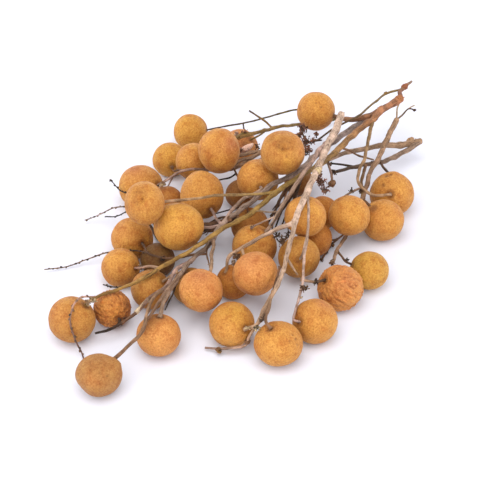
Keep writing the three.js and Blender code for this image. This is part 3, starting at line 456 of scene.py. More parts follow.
# Dead twigs between and under the fruits, by the stem that they grow from. The dark ones that reach down into
# the gaps between the fruits are partly twigs and partly stand in for the shade there (painted shade).
DEAD_TWIGS = {
    "left_twig": [
        twig(1.2, 0.9, [(-2.5, 50.0, 14.5), (-6.3, 47.7, 13.0), (-11.4, 47.2, 12.0), (-15.3, 48.1, 10.0)],
             DRY_BLACK, DRY_BROWN),
    ],
    "grey_stem": [
        twig(1.1, 0.8, [(6.0, 0.3, 27.0), (0.6, 7.3, 20.0), (-5.5, 13.7, 13.0), (-15.9, 13.1, 10.0)],
             BROWN_WOOD, DRY_BLACK),
        twig(1.0, 0.8, [(36.3, 15.3, 31.0), (31.8, 18.1, 20.0), (24.5, 17.0, 14.0), (18.4, 11.0, 10.0)],
             DRY_BROWN, DRY_BLACK),
        twig(1.0, 0.8, [(33.6, 22.0, 33.0), (29.0, 12.2, 22.0), (24.8, 5.1, 16.0), (21.7, -1.7, 12.0)],
             DRY_BROWN, DRY_BLACK),
        twig(2.6, 2.6, [(-6, -14, 27), (-17, -4, 15), (-23, 4, 8), (-29, -1, 6.5), (-35, -6, 5.5),
                        (-42, -7, 4), (-48, 1, 3), (-53, 14, 3), (-56.5, 24, 3)], BROWN_WOOD, DRY_BROWN),
        twig(2.2, 2.6, [(-6, -14, 27), (-16, -8, 14), (-25, 0, 7), (-32, -7, 5), (-40, -11, 4), (-46, -8, 3),
                        (-50, 0, 3), (-55.5, 10, 3), (-60, 20, 2.2)], BROWN_WOOD, DRY_BROWN),
        twig(1.2, 0.9, [(-17, -35, 25), (-18.8, -42, 26), (-17.8, -54, 27), (-16.8, -60, 27.5)],
             DRY_BROWN, BROWN_WOOD),
        twig(2.2, 1.6, [(-34, -64, 24), (-39, -76, 26), (-43.5, -88, 26.5), (-48.2, -96.4, 24.2),
                        (-50.4, -99.8, 22.9)], GREY_BROWN, BROWN_WOOD),
        twig(1.2, 0.8, [(-34.5, -65, 23.5), (-37.2, -75.2, 21), (-38.9, -80.7, 20), (-40.8, -86.2, 19)],
             DRY_BROWN, DRY_BLACK),
    ],
    "pale_stem": [
        twig(1.4, 1.0, [(22, -66, 33), (18.5, -77, 27), (15, -88, 23), (12, -97, 21)], BROWN_WOOD, DRY_BROWN),
    ],
    "middle_stem": [
        twig(1.1, 0.8, [(5.3, -15.8, 32.5), (10.5, -14.8, 33.0), (16.4, -14.4, 32.0), (22.8, -12.6, 31.0)],
             OLIVE_WOOD, PALE_WOOD),
    ],
}

# Brushes of thin dead twigs under the stems, dark, so that they also stand in for the deep shade in the gaps
# below the stems (painted shade): the stem, from where, to where, and how many.
BRUSHES = [
    ("grey_stem", (32, 22, 32), (20, 0, 7), 5),
    ("grey_stem", (41, 31, 33), (27, 12, 8), 5),
    ("grey_stem", (-8, -14, 25), (-28, -11, 8), 5),
    ("grey_stem", (-2, -10, 26), (-14, 4, 8), 4),
]

# Node, its record slot, its twigs, and its knobs: where, radius and colour.
STEMS = [
    ("middle_stem", "olive_bark", MIDDLE_STEM, MIDDLE_KNOBS),
    ("grey_stem", "grey_bark", GREY_STEM, []),
    ("pale_stem", "pale_bark", PALE_STEM, PALE_KNOBS),
    ("leaning_branch", "grey_bark", LEANING_BRANCH, []),
    ("right_stem", "tan_bark", RIGHT_STEM, RIGHT_KNOBS),
    ("forked_end", "tan_bark", FORKED_END, FORKED_KNOBS),
    ("back_twig", "olive_bark", BACK_TWIG, []),
    ("thin_back_twig", "dark_twig", THIN_BACK_TWIG, []),
    ("left_twig", "dark_twig", LEFT_TWIG, []),
    ("far_left_twig", "dark_twig", FAR_LEFT_TWIG, []),
]

# Dry scales that once wrapped a bud: where, half sizes, turn in degrees and colour.
SCALES = [
    ((4.0, 61.5, 26), (4.4, 1.5, 2.3), (0, -25, 20), PINK_SCALE),
    ((6.5, 62.5, 26.5), (2.9, 1.1, 1.8), (10, -40, 35), PALE_SCALE),
    ((1.5, 60.5, 25), (2.4, 1.2, 1.9), (-15, 10, -10), BROWN_SCALE),
]

# Clumps of dried flowers and husks: the stem that they grow on, where, how far they spread, how many
# there are, and two colours that they lie between.
CLUMPS = [
    ("middle_stem", (40, 74, 33), 3.8, 44, DRY_BROWN, DRY_RED),
    ("middle_stem", (38, 67, 33), 3.2, 30, DRY_BROWN, DRY_RED),
    ("middle_stem", (42, 60, 32), 3.8, 40, DRY_BROWN, DRY_RED),
    ("middle_stem", (46, 58, 34), 2.4, 16, DRY_BROWN, DRY_RED),
    ("middle_stem", (42, 50, 32), 3.4, 34, DRY_BROWN, DRY_RED),
    ("middle_stem", (48, 62, 36), 1.8, 8, DRY_BLACK, DRY_RED),
    ("pale_stem", (44, 3, 48), 2.6, 22, BROWN_WOOD, STRAW),
    ("pale_stem", (46, 7, 48), 2.2, 12, DRY_BROWN, PALE_WOOD),
    ("middle_stem", (56, 20.5, 27.5), 2.2, 14, DRY_BROWN, BROWN_WOOD),
    ("middle_stem", (54, 30, 36), 1.8, 8, DRY_BROWN, BROWN_WOOD),
    ("pale_stem", (46, 8, 43), 3.2, 34, DRY_BLACK, DRY_RED),
    ("pale_stem", (48, 4, 40.5), 3.4, 36, DRY_BROWN, DRY_RED),
    ("pale_stem", (50, -2, 39), 3.0, 26, DRY_BLACK, DRY_RED),
    ("pale_stem", (21, -39.8, 34), 2.4, 18, DRY_BLACK, DRY_BROWN),
    ("pale_stem", (24.3, -42.6, 34), 2.4, 18, DRY_BLACK, BROWN_WOOD),
    ("pale_stem", (27.2, -40.2, 35), 2.2, 18, DRY_BLACK, DRY_BROWN),
    ("pale_stem", (23.2, -42.4, 31), 2.2, 14, DRY_BLACK, BROWN_WOOD),
    ("leaning_branch", (7, -26, 30), 1.2, 6, DRY_BROWN, PINK_GREY),
    ("pale_stem", (-2, -49, 27), 2.4, 18, DRY_BROWN, BROWN_WOOD),
    ("pale_stem", (-4, -53, 25), 1.8, 10, DRY_BROWN, PALE_WOOD),
    ("pale_stem", (35, -76, 26), 2.8, 24, DRY_BLACK, BROWN_WOOD),
    ("pale_stem", (33, -78, 21), 1.4, 6, STRAW, PALE_WOOD),
    ("pale_stem", (42, -66, 22), 2.0, 14, DRY_BLACK, DRY_BROWN),
    ("pale_stem", (9, -103, 21), 1.8, 13, DRY_BLACK, STRAW),
    ("pale_stem", (11.7, -100, 24), 1.8, 12, DRY_BLACK, BROWN_WOOD),
    ("pale_stem", (4, -100, 18), 1.5, 9, BROWN_WOOD, STRAW),
    ("pale_stem", (-11.5, -102, 3.5), 1.6, 12, DRY_BROWN, YELLOW_WOOD),
    ("middle_stem", (-82, -86, 25), 2.4, 18, BROWN_WOOD, STRAW),
    ("middle_stem", (-79, -84, 24), 1.8, 10, DRY_BROWN, STRAW),
    ("middle_stem", (-57, -47, 17), 1.7, 12, DRY_BROWN, PALE_WOOD),
    ("left_twig", (-47, 21, 27), 2.0, 12, BROWN_WOOD, STRAW),
    ("left_twig", (-80, 33, 21), 1.0, 4, DRY_BLACK, DRY_BROWN),
    ("left_twig", (11, 65, 25), 2.2, 14, DRY_BLACK, BROWN_WOOD),
    ("left_twig", (0, 59, 26), 1.8, 10, DRY_BROWN, DRY_PINK),
    ("back_twig", (2.5, 67.5, 34), 2.2, 16, DRY_BLACK, DRY_RED),
    ("back_twig", (-2, 66, 34.5), 2.0, 10, DRY_PINK, PALE_WOOD),
    ("left_twig", (-43, 56.5, 14.5), 1.3, 8, DRY_BROWN, BROWN_WOOD),
    ("thin_back_twig", (3, 104, 11), 2.2, 18, DRY_BLACK, DRY_RED),
    ("right_stem", (74, 21, 22), 1.8, 10, DRY_BLACK, BROWN_WOOD),
    ("right_stem", (69, 27, 18), 1.8, 10, DRY_BLACK, DRY_BROWN),
    ("right_stem", (53, -46, 20), 1.8, 12, DRY_BLACK, BROWN_WOOD),
    ("right_stem", (48.5, -21, 1.6), 1.3, 6, DRY_BROWN, BROWN_WOOD),
    ("right_stem", (54.8, -8.5, 3), 2.2, 18, DRY_BLACK, BROWN_WOOD),
    ("right_stem", (51.5, -14, 2.5), 1.8, 14, DRY_BLACK, BROWN_WOOD),
    ("right_stem", (62, -37, 14), 1.4, 8, DRY_BLACK, DRY_BROWN),
    ("forked_end", (58, 37, 24), 2.2, 16, DRY_BLACK, DRY_BROWN),
    ("forked_end", (57, 46, 25), 1.2, 6, DRY_BLACK, DRY_BROWN),
    ("forked_end", (84, 56, 18), 1.8, 8, DRY_BLACK, BROWN_WOOD),
    ("grey_stem", (-66, -86, 10), 1.8, 12, DRY_BLACK, DRY_BROWN),
    ("grey_stem", (-16, -59, 29), 1.9, 14, DRY_BROWN, PALE_WOOD),
    ("far_left_twig", (-44, -42, 20), 1.6, 8, DRY_BLACK, BROWN_WOOD),
]


# ---- building node trees -----------------------------------------------------------------------
def add_node(tree, kind, **settings):
    """A node of a tree, one column to the right of the last."""
    node = tree.nodes.new(kind)
    node.location = (180 * len(tree.nodes), 0)
    for name, value in settings.items():
        setattr(node, name, value)
    return node


def feed(tree, socket, value):
    """Sets an input to a value, or joins it to another node's output."""
    if isinstance(value, bpy.types.NodeSocket):
        tree.links.new(value, socket)
    else:
        socket.default_value = value


def set_inputs(node, **values):
    """Plain values of a node's inputs, by their names with _ for a space."""
    for name, value in values.items():
        node.inputs[name.replace("_", " ")].default_value = value


def calculate(tree, operation, *values):
    """The output of one Math node."""
    node = add_node(tree, "ShaderNodeMath", operation=operation)
    for socket, value in zip(node.inputs, values):
        feed(tree, socket, value)
    return node.outputs[0]


def calculate_vector(tree, operation, *values, scale=None):
    """The output of one Vector Math node."""
    node = add_node(tree, "ShaderNodeVectorMath", operation=operation)
    for socket, value in zip(node.inputs, values):
        feed(tree, socket, value)
    if scale is not None:
        feed(tree, node.inputs["Scale"], scale)
    return node.outputs["Value" if operation == "DOT_PRODUCT" else "Vector"]


def noise(tree, vector, scale, detail=2.0, roughness=0.5):
    """A Noise Texture's value, from 0 to 1."""
    node = add_node(tree, "ShaderNodeTexNoise")
    feed(tree, node.inputs["Vector"], vector)
    feed(tree, node.inputs["Scale"], scale)
    set_inputs(node, Detail=detail, Roughness=roughness)
    return node.outputs[0]


def noise_colour(tree, vector, scale):
    """A Noise Texture's colour, which bends another pattern."""
    node = add_node(tree, "ShaderNodeTexNoise")
    feed(tree, node.inputs["Vector"], vector)
    set_inputs(node, Scale=scale)
    return node.outputs["Color"]


def centred(tree, value, depth):
    """A value from 0 to 1 that now lies evenly about 0, multiplied."""
    return calculate(tree, "MULTIPLY", calculate(tree, "SUBTRACT", value, 0.5), depth)


def blend_colours(tree, factor, first, second, blend="MIX"):
    """One Mix node on colours."""
    node = add_node(tree, "ShaderNodeMix", data_type="RGBA", blend_type=blend)
    feed(tree, node.inputs[0], factor)
    for socket, value in ((node.inputs[6], first), (node.inputs[7], second)):
        feed(tree, socket, (*value, 1) if isinstance(value, tuple) else value)
    return node.outputs[2]


def tinted(tree, factor, colour, multiplier):
    """A colour that is multiplied by another as far as the factor says."""
    return blend_colours(tree, factor, colour, blend_colours(tree, 1.0, colour, multiplier, "MULTIPLY"))


def remap(tree, value, low, high, to_low=0.0, to_high=1.0):
    """A value that rises smoothly from one level to another, while the given one goes from low to high."""
    node = add_node(tree, "ShaderNodeMapRange", interpolation_type="SMOOTHSTEP")
    for name, number in (("Value", value), ("From Min", low), ("From Max", high),
                         ("To Min", to_low), ("To Max", to_high)):
        feed(tree, node.inputs[name], number)
    return node.outputs["Result"]


def new_tree(name, kind, inputs, outputs):
    """A node group with named sockets, and its two end nodes."""
    tree = bpy.data.node_groups.new(name, kind)
    for socket_name, socket_type in inputs:
        tree.interface.new_socket(name=socket_name, in_out="INPUT", socket_type=socket_type)
    for socket_name, socket_type in outputs:
        tree.interface.new_socket(name=socket_name, in_out="OUTPUT", socket_type=socket_type)
    return tree, add_node(tree, "NodeGroupInput"), add_node(tree, "NodeGroupOutput")


def read_attribute(tree, name, kind):
    """A named attribute, in Geometry Nodes."""
    node = add_node(tree, "GeometryNodeInputNamedAttribute", data_type=kind)
    set_inputs(node, Name=name)
    return node.outputs["Attribute"]


def write_attribute(tree, geometry, name, kind, value):
    """Keeps a value on each point of a geometry, as a named attribute."""
    node = add_node(tree, "GeometryNodeStoreNamedAttribute", data_type=kind, domain="POINT")
    set_inputs(node, Name=name)
    feed(tree, node.inputs["Geometry"], geometry)
    feed(tree, node.inputs["Value"], value)
    return node.outputs[0]


def pushed_out(tree, geometry, depth):
    """Moves each point of a geometry along its normal."""
    node = add_node(tree, "GeometryNodeSetPosition")
    normal = add_node(tree, "GeometryNodeInputNormal").outputs[0]
    feed(tree, node.inputs["Geometry"], geometry)
    feed(tree, node.inputs["Offset"], calculate_vector(tree, "SCALE", normal, scale=depth))
    return node.outputs[0]


def finish_tree(tree, start, end, geometry):
    """The last nodes of a Geometry Nodes tree: smooth, made real, with its material."""
    smooth = add_node(tree, "GeometryNodeSetShadeSmooth")
    feed(tree, smooth.inputs["Geometry"], geometry)
    real = add_node(tree, "GeometryNodeRealizeInstances")
    feed(tree, real.inputs[0], smooth.outputs[0])
    painted = add_node(tree, "GeometryNodeSetMaterial")
    feed(tree, painted.inputs["Geometry"], real.outputs[0])
    feed(tree, painted.inputs["Material"], start.outputs["Material"])
    feed(tree, end.inputs[0], painted.outputs[0])


def shape_by_nodes(piece, tree, values):
    """Runs a Geometry Nodes tree on an object and keeps the result as its plain mesh."""
    modifier = piece.modifiers.new(tree.name, "NODES")
    modifier.node_group = tree
    for item in tree.interface.items_tree:
        if item.item_type == "SOCKET" and item.in_out == "INPUT" and item.name in values:
            modifier[item.identifier] = values[item.name]
    bpy.context.view_layer.update()
    evaluated = piece.evaluated_get(bpy.context.evaluated_depsgraph_get())
    mesh = bpy.data.meshes.new_from_object(evaluated)
    mesh.name = piece.name
    while None in list(mesh.materials):
        mesh.materials.pop(index=list(mesh.materials).index(None))
    piece.modifiers.remove(modifier)
    piece.data = mesh


def new_piece(name, mesh):
    """An object for a mesh, in the scene."""
    piece = bpy.data.objects.new(name, mesh)
    bpy.context.scene.collection.objects.link(piece)
    return piece


# ---- materials and stored colours --------------------------------------------------------------
def named_attribute(tree, name):
    """An Attribute node of a material."""
    return add_node(tree, "ShaderNodeAttribute", attribute_name=name)


def bumped(tree, height, distance, strength):
    """A Bump node's normal."""
    node = add_node(tree, "ShaderNodeBump")
    set_inputs(node, Strength=strength, Distance=distance)
    feed(tree, node.inputs["Height"], height)
    return node.outputs["Normal"]


def empty_material(name):
    """A new material, its node tree and its Principled shader."""
    material = bpy.data.materials.new(name)
    material.use_nodes = True
    tree = material.node_tree
    shader = next(node for node in tree.nodes if node.type == "BSDF_PRINCIPLED")
    return material, tree, shader


def store_colour(mesh, name, colours):
    """A colour attribute, one linear colour a point."""
    layer = mesh.attributes.new(name, "FLOAT_COLOR", "POINT")
    layer.data.foreach_set("color", np.c_[colours, np.ones(len(colours))].astype(np.float32).ravel())


# ---- fruits ------------------------------------------------------------------------------------
# The noise of the rind's lumps, dimples and creases: its scale, detail and roughness.
LUMP_NOISE = (1.1, 1.0, 0.5)
DIMPLE_NOISE = (4.5, 3.0, 0.6)
CREASE_NOISE = (7.0, 2.0, 0.55)

# Creases run from the stem to the tip, because their noise is stretched that way.
LENGTHWISE = (1.0, 1.0, 0.22)

# Every fruit reads another part of the noise, so many steps further in this direction.
SEED_DIRECTION = (1.0, 0.7, 0.4)
SEED_STEP = 3.7

# How narrow the hollows at the stem and the tip are.
HOLLOW_SHARPNESS = 17.0


def hollow(tree, height, pole, sharpness, depth):
    """The depth of a round hollow at the upper or the lower pole of a ball of radius 1."""
    away = calculate(tree, "SUBTRACT", 1.0, calculate(tree, "MULTIPLY", height, pole))
    steepness = calculate(tree, "MULTIPLY", calculate(tree, "MULTIPLY", away, sharpness), -1.0)
    return calculate(tree, "MULTIPLY", calculate(tree, "EXPONENT", steepness), depth)


def fruit_tree():
    """Geometry Nodes: a round fruit of radius 1 with its stem end at +Z."""
    sizes = ("Flattening", "Stem Hollow", "Tip Hollow", "Hollow Sharpness", "Lumps", "Dimples", "Wrinkles",
             "Seed")
    tree, start, end = new_tree(
        "Fruit Body", "GeometryNodeTree",
        [("Detail", "NodeSocketInt"), *((name, "NodeSocketFloat") for name in sizes),
         ("Material", "NodeSocketMaterial")],
        [("Geometry", "NodeSocketGeometry")])
    ball = add_node(tree, "GeometryNodeMeshIcoSphere")
    feed(tree, ball.inputs["Subdivisions"], start.outputs["Detail"])
    spot = add_node(tree, "GeometryNodeInputPosition").outputs[0]
    height = calculate_vector(tree, "DOT_PRODUCT", spot, (0.0, 0.0, 1.0))
    seeded = calculate_vector(tree, "ADD", spot, calculate_vector(
        tree, "SCALE", SEED_DIRECTION, scale=start.outputs["Seed"]))
    lengthwise = calculate_vector(tree, "MULTIPLY", seeded, LENGTHWISE)
    flattening = calculate(tree, "MULTIPLY", calculate(tree, "MULTIPLY", height, height),
                           start.outputs["Flattening"])
    sharpness = start.outputs["Hollow Sharpness"]
    creases = centred(tree, noise(tree, lengthwise, *CREASE_NOISE), start.outputs["Wrinkles"])
    reach = 1.0
    for operation, amount in (
            ("SUBTRACT", flattening),
            ("SUBTRACT", hollow(tree, height, 1.0, sharpness, start.outputs["Stem Hollow"])),
            ("SUBTRACT", hollow(tree, height, -1.0, sharpness, start.outputs["Tip Hollow"])),
            ("ADD", centred(tree, noise(tree, seeded, *LUMP_NOISE), start.outputs["Lumps"])),
            ("ADD", centred(tree, noise(tree, seeded, *DIMPLE_NOISE), start.outputs["Dimples"])),
            ("ADD", creases)):
        reach = calculate(tree, operation, reach, amount)
    marked = write_attribute(tree, ball.outputs["Mesh"], "stem_side", "FLOAT", height)
    # The crease depth is kept for the rind's painted shade in the creases and painted highlight on the
    # ridges.
    marked = write_attribute(tree, marked, "crease", "FLOAT", creases)
    shaped = add_node(tree, "GeometryNodeSetPosition")
    feed(tree, shaped.inputs["Geometry"], marked)
    feed(tree, shaped.inputs["Position"], calculate_vector(tree, "SCALE", spot, scale=reach))
    finish_tree(tree, start, end, shaped.outputs[0])
    return tree


# What lies lower than this belongs to a fruit's flat spot on the table.
FLAT_SPOT = 0.5 * MM


def ball_through(node_name):
    """The centre and radius of the ball that fits a node's solid best, in metres."""
    corners = np.array([corner.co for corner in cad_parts[node_name].data.vertices], float)
    corners = corners[corners[:, 2] > FLAT_SPOT]
    rows = np.c_[2 * corners, np.ones(len(corners))]
    x, y, z, rest = np.linalg.lstsq(rows, (corners ** 2).sum(1), rcond=None)[0]
    return Vector((x, y, z)), math.sqrt(rest + x * x + y * y + z * z)


def rind_net(tree, spot):
    """The fine cells of the rind: 0 in the middle of a cell and 1 between cells."""
    bend = calculate_vector(tree, "SCALE", noise_colour(tree, spot, 600.0), scale=1.0 * MM)
    cells = add_node(tree, "ShaderNodeTexVoronoi", feature="SMOOTH_F1")
    feed(tree, cells.inputs["Vector"], calculate_vector(tree, "ADD", spot, bend))
    set_inputs(cells, Scale=1300.0, Smoothness=0.6)
    return remap(tree, cells.outputs["Distance"], 0.20, 0.60)


def rind_pattern():
    """Shader group: the mottled rind, as a colour, a height and a roughness, from a base colour."""
    tree, start, end = new_tree(
        "Rind Pattern", "ShaderNodeTree",
        [("Base Colour", "NodeSocketColor"), ("Stem Side", "NodeSocketFloat"), ("Crease", "NodeSocketFloat")],
        [("Colour", "NodeSocketColor"), ("Height", "NodeSocketFloat"), ("Roughness", "NodeSocketFloat")])
    spot = add_node(tree, "ShaderNodeTexCoord").outputs["Object"]
    stem_side, crease = start.outputs["Stem Side"], start.outputs["Crease"]
    broad = noise(tree, spot, 70.0, 2.0)
    patches = noise(tree, spot, 210.0, 3.0, 0.6)
    mottle = noise(tree, spot, 980.0, 3.0, 0.65)
    grainy = noise(tree, spot, 2400.0, 2.0, 0.6)
    dots = noise(tree, spot, 950.0, 1.0)
    net = rind_net(tree, spot)
    net_strength = remap(tree, noise(tree, spot, 130.0, 1.0), 0.35, 0.68, 0.15, 0.6)
    cell_middles = calculate(tree, "MULTIPLY", calculate(tree, "SUBTRACT", 1.0, net), net_strength)

    # Each layer of the rind: where it shows, and what it multiplies the colour by.
    layers = [
        (remap(tree, broad, 0.35, 0.70), (1.10, 1.16, 1.12)),  # broad paler areas
        (remap(tree, patches, 0.46, 0.72, 0.0, 0.85), (0.80, 0.62, 0.56)),  # brown patches
        (remap(tree, patches, 0.46, 0.26, 0.0, 0.6), (1.10, 1.22, 1.15)),  # yellow patches
        (remap(tree, mottle, 0.54, 0.34, 0.0, 0.75), (0.72, 0.58, 0.52)),  # dark mottle
        (remap(tree, mottle, 0.54, 0.72, 0.0, 0.85), (1.24, 1.30, 1.55)),  # pale mottle
        (cell_middles, (0.74, 0.62, 0.55)),
        (remap(tree, grainy, 0.42, 0.64, 0.0, 0.6), (0.82, 0.72, 0.64)),  # fine grain
        (remap(tree, dots, 0.745, 0.80, 0.0, 0.8), (0.30, 0.24, 0.22)),  # black dots
        # The two crease layers paint shade into the creases and a highlight onto the ridges between them.
        (remap(tree, crease, -0.006, -0.05, 0.0, 0.85), (0.52, 0.34, 0.28)),  # inside a crease
        (remap(tree, crease, 0.006, 0.05, 0.0, 0.8), (1.30, 1.16, 1.10)),  # between creases
        (remap(tree, stem_side, 0.955, 0.999, 0.0, 0.75), (0.40, 0.34, 0.40)),  # at the stem
        (remap(tree, stem_side, -0.965, -0.999, 0.0, 0.35), (0.50, 0.42, 0.45)),  # at the tip
    ]
    colour = start.outputs["Base Colour"]
    for factor, multiplier in layers:
        colour = tinted(tree, factor, colour, multiplier)
    feed(tree, end.inputs["Colour"], colour)

    height = calculate(tree, "MULTIPLY", net, 0.5)
    for texture, share in ((grainy, 0.4), (mottle, 0.9)):
        height = calculate(tree, "ADD", height, calculate(tree, "MULTIPLY", texture, share))
    feed(tree, end.inputs["Height"], height)
    feed(tree, end.inputs["Roughness"], remap(tree, patches, 0.3, 0.7, 0.56, 0.72))
    return tree


def rind_material():
    """The fruits' dull, leathery rind."""
    material, tree, shader = empty_material("Longan Rind")
    pattern = add_node(tree, "ShaderNodeGroup", node_tree=rind_pattern())
    feed(tree, pattern.inputs["Base Colour"], named_attribute(tree, "rind").outputs["Color"])
    feed(tree, pattern.inputs["Stem Side"], named_attribute(tree, "stem_side").outputs["Fac"])
    feed(tree, pattern.inputs["Crease"], named_attribute(tree, "crease").outputs["Fac"])
    feed(tree, shader.inputs["Base Color"], pattern.outputs["Colour"])
    feed(tree, shader.inputs["Roughness"], pattern.outputs["Roughness"])
    feed(tree, shader.inputs["Normal"], bumped(tree, pattern.outputs["Height"], 0.4 * MM, 0.75))
    set_inputs(shader, Specular_IOR_Level=0.24, Sheen_Weight=0.10, Sheen_Roughness=0.40,
               Sheen_Tint=(1.0, 0.74, 0.50, 1))
    return material


def stem_axis(twig_from, centre):
    """The direction in which a fruit's twig leaves it."""
    return (place(twig_from) - centre).normalized()


def facing(right, up):
    """The direction of a point on a ball, that far right and up on it as the camera sees it."""
    shown = Vector((right, up, math.sqrt(max(0.0, 1 - right * right - up * up)))).normalized()
    return Matrix.Rotation(math.pi / 2 - CAMERA_HEIGHT_ANGLE, 3, "X") @ shown


def marked(number, spots, colour):
    """A fruit's points with its own swellings and hollows, and a colour for each point."""
    outward = spots / np.linalg.norm(spots, axis=1, keepdims=True)
    colours = np.tile(colour, (len(spots), 1))
    for right, up, size, swelling, tint, strength in MARKS.get(number, []):
        angle = np.arccos(np.clip(outward @ np.array(facing(right, up)), -1, 1))
        weight = np.exp(-(angle / size) ** 2)[:, None]
        spots = spots + outward * swelling * weight
        if tint:
            colours = colours * (1 - strength * weight) + np.array(tint) * strength * weight
    return spots, colours


def make_fruit(row, tree, material, looks):
    """One fruit, round its solid, with its flat spot on the table."""
    number, twig_from, colour, wrinkled, wide, tall = row
    node_name = f"fruit_{number:02d}"
    centre, radius = ball_through(node_name)
    piece = new_piece(f"longan_{number:02d}", bpy.data.meshes.new("start"))
    shape_by_nodes(piece, tree, {
        "Detail": HIDDEN_DETAIL if number in HIDDEN_FRUITS else FINE_DETAIL,
        "Flattening": looks.flattening, "Stem Hollow": looks.stem_hollow, "Tip Hollow": looks.tip_hollow,
        "Hollow Sharpness": HOLLOW_SHARPNESS, "Lumps": looks.lumps, "Dimples": looks.dimples,
        "Wrinkles": looks.wrinkles * wrinkled, "Seed": SEED_STEP * number, "Material": material,
    })
    turn = stem_axis(twig_from, centre).to_track_quat("Z", "Y").to_matrix().to_4x4()
    piece.data.transform(turn)
    spots = np.empty(len(piece.data.vertices) * 3, np.float32)
    piece.data.vertices.foreach_get("co", spots)
    spots, colours = marked(number, spots.reshape(-1, 3), colour)
    spots = spots * radius * looks.fullness * np.array((wide, 1, tall)) + np.array(centre)
    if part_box(node_name)[0].z < FLAT_SPOT:
        spots[:, 2] = np.maximum(spots[:, 2], 0)
    piece.data.vertices.foreach_set("co", spots.astype(np.float32).ravel())
    piece.data.update()
    store_colour(piece.data, "rind", colours)
    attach(piece, "root")
    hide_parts(node_name)


# ---- stems -------------------------------------------------------------------------------------
# Lengths and thicknesses are in millimetres.

# How deep a twig goes into its fruit, the steps along it, and the sides round it.
SEAT_DEPTH = 1.6
TWIG_STEP = 0.75
TWIG_SIDES = 14

# A twig thinner than THICK_WOOD starts in a collar, and one with a fruit ends in a flare. The collar fades
# out over a share of the thickness, and the flare over a length.
THICK_WOOD = 3.2
COLLAR = 0.45
COLLAR_SHARE = 0.6
FLARE = 0.45
FLARE_LENGTH = 1.2

# Knots: the spaces between them, how much they swell, their half length as a share of the thickness and a
# length besides, and how much of a twig's end has none.
KNOT_SPACING = (14.0, 27.0)
KNOT_SWELLING = 0.16
KNOT_SHARE = 0.45
KNOT_LENGTH = 0.5
KNOTLESS_END = 4

# A twig wanders in waves: how far, how long they are, how much they are shifted in radians, and the
# thickness below which it wanders less.
SWAY = 0.16
SWAY_SPANS = (1.9, 3.7, 6.1)
SWAY_PHASES = 6
FULL_SWAY_WIDTH = 2.5

# The noise of the wood's thickness and of its ridges.
UNEVENNESS_SCALE = 220.0
RIDGE_NOISE = (1.1, 3.0, 0.6)

# Dry stalks: one for so many flowers, their thickness at both ends, and how far they reach and bend, in
# shares of the clump's spread.
STALK_SEED = 100
FLOWERS_PER_STALK = 3
STALK_WIDTHS = (0.7, 0.4)
STALK_MIDDLE = 0.6
STALK_REACH = 1.15
STALK_BEND = 0.25

# Brushes: how far the dead twigs' roots, middles and tips lie apart, their thickness and the lowest tip.
BRUSH_SEED = 40
BRUSH_ROOTS = 0.6
BRUSH_BEND = 2.2
BRUSH_SPREAD = np.array((5.5, 5.5, 3.0))
BRUSH_WIDTHS = (1.0, 1.8)
BRUSH_TAPER = 0.6
LOWEST_TIP = 1.5


def between(first, second, low, high, at):
    """The point that a parameter has reached on its way from low to high, from one point to another."""
    return (high - at) / (high - low) * first + (at - low) / (high - low) * second


def smooth_route(points, step):
    """Points along a centripetal Catmull-Rom curve through a route, in millimetres."""
    points = [np.array(point, float) for point in points]
    if len(points) == 2:
        count = max(2, math.ceil(np.linalg.norm(points[1] - points[0]) / step))
        return np.array([points[0] + (points[1] - points[0]) * i / count for i in range(count + 1)])
    padded = [2 * points[0] - points[1], *points, 2 * points[-1] - points[-2]]
    smooth = []
    for i in range(len(points) - 1):
        four = padded[i:i + 4]
        knots = np.cumsum([0, *[math.sqrt(np.linalg.norm(b - a)) for a, b in zip(four, four[1:])]])
        count = max(2, math.ceil(np.linalg.norm(four[2] - four[1]) / step))
        for at in np.linspace(knots[1], knots[2], count, endpoint=False):
            three = [between(four[j], four[j + 1], knots[j], knots[j + 1], at) for j in range(3)]
            two = [between(three[j], three[j + 1], knots[j], knots[j + 2], at) for j in range(2)]
            smooth.append(between(*two, knots[1], knots[2], at))
    smooth.append(points[-1])
    return np.array(smooth)


def distances(line):
    """How far each point of a line is from its start, along the line."""
    return np.r_[0, np.cumsum(np.linalg.norm(np.diff(line, axis=0), axis=1))]


def seat(number):
    """Where a fruit's twig meets its rind, in the lists' millimetres."""
    centre, radius = ball_through(f"fruit_{number:02d}")
    axis = stem_axis(FRUITS[number - 1][1], centre)
    return (centre + axis * (radius - SEAT_DEPTH * MM)) / MM - CENTRING


def routed(one):
    """A twig's route, as far as its fruit when it has one."""
    return [*one["route"], tuple(seat(one["fruit"]))] if one["fruit"] else one["route"]


def uneven_width(one, lengths, random):
    """A twig's thickness at each point: tapered, with some knots, and a collar where a thin one starts."""
    share = lengths / lengths[-1]
    width = one["width"] + (one["end_width"] - one["width"]) * share
    if one["width"] < THICK_WOOD:
        width *= 1 + COLLAR * np.exp(-lengths / one["width"] / COLLAR_SHARE)
    if one["fruit"]:
        width *= 1 + FLARE * np.exp(-(lengths[-1] - lengths) / FLARE_LENGTH)
    knot = random.uniform(*KNOT_SPACING)
    while knot < lengths[-1] - KNOTLESS_END:
        half = KNOT_SHARE * one["width"] + KNOT_LENGTH
        width *= 1 + KNOT_SWELLING * np.exp(-((lengths - knot) / half) ** 2)
        knot += random.uniform(*KNOT_SPACING)
    return width


def swaying(line, lengths, width, random):
    """A line that wanders a little to the sides between its ends."""
    waves = sum(np.sin(lengths[:, None] / span + random.uniform(0, SWAY_PHASES, 3)) for span in SWAY_SPANS)
    held = np.sin(np.pi * np.clip(lengths / lengths[-1], 0, 1))[:, None] ** 0.5
    return line + waves * held * SWAY * min(1.0, width / FULL_SWAY_WIDTH)


def mixed(first, second, share):
    """A colour between two others."""
    return tuple(a + (b - a) * share for a, b in zip(first, second))


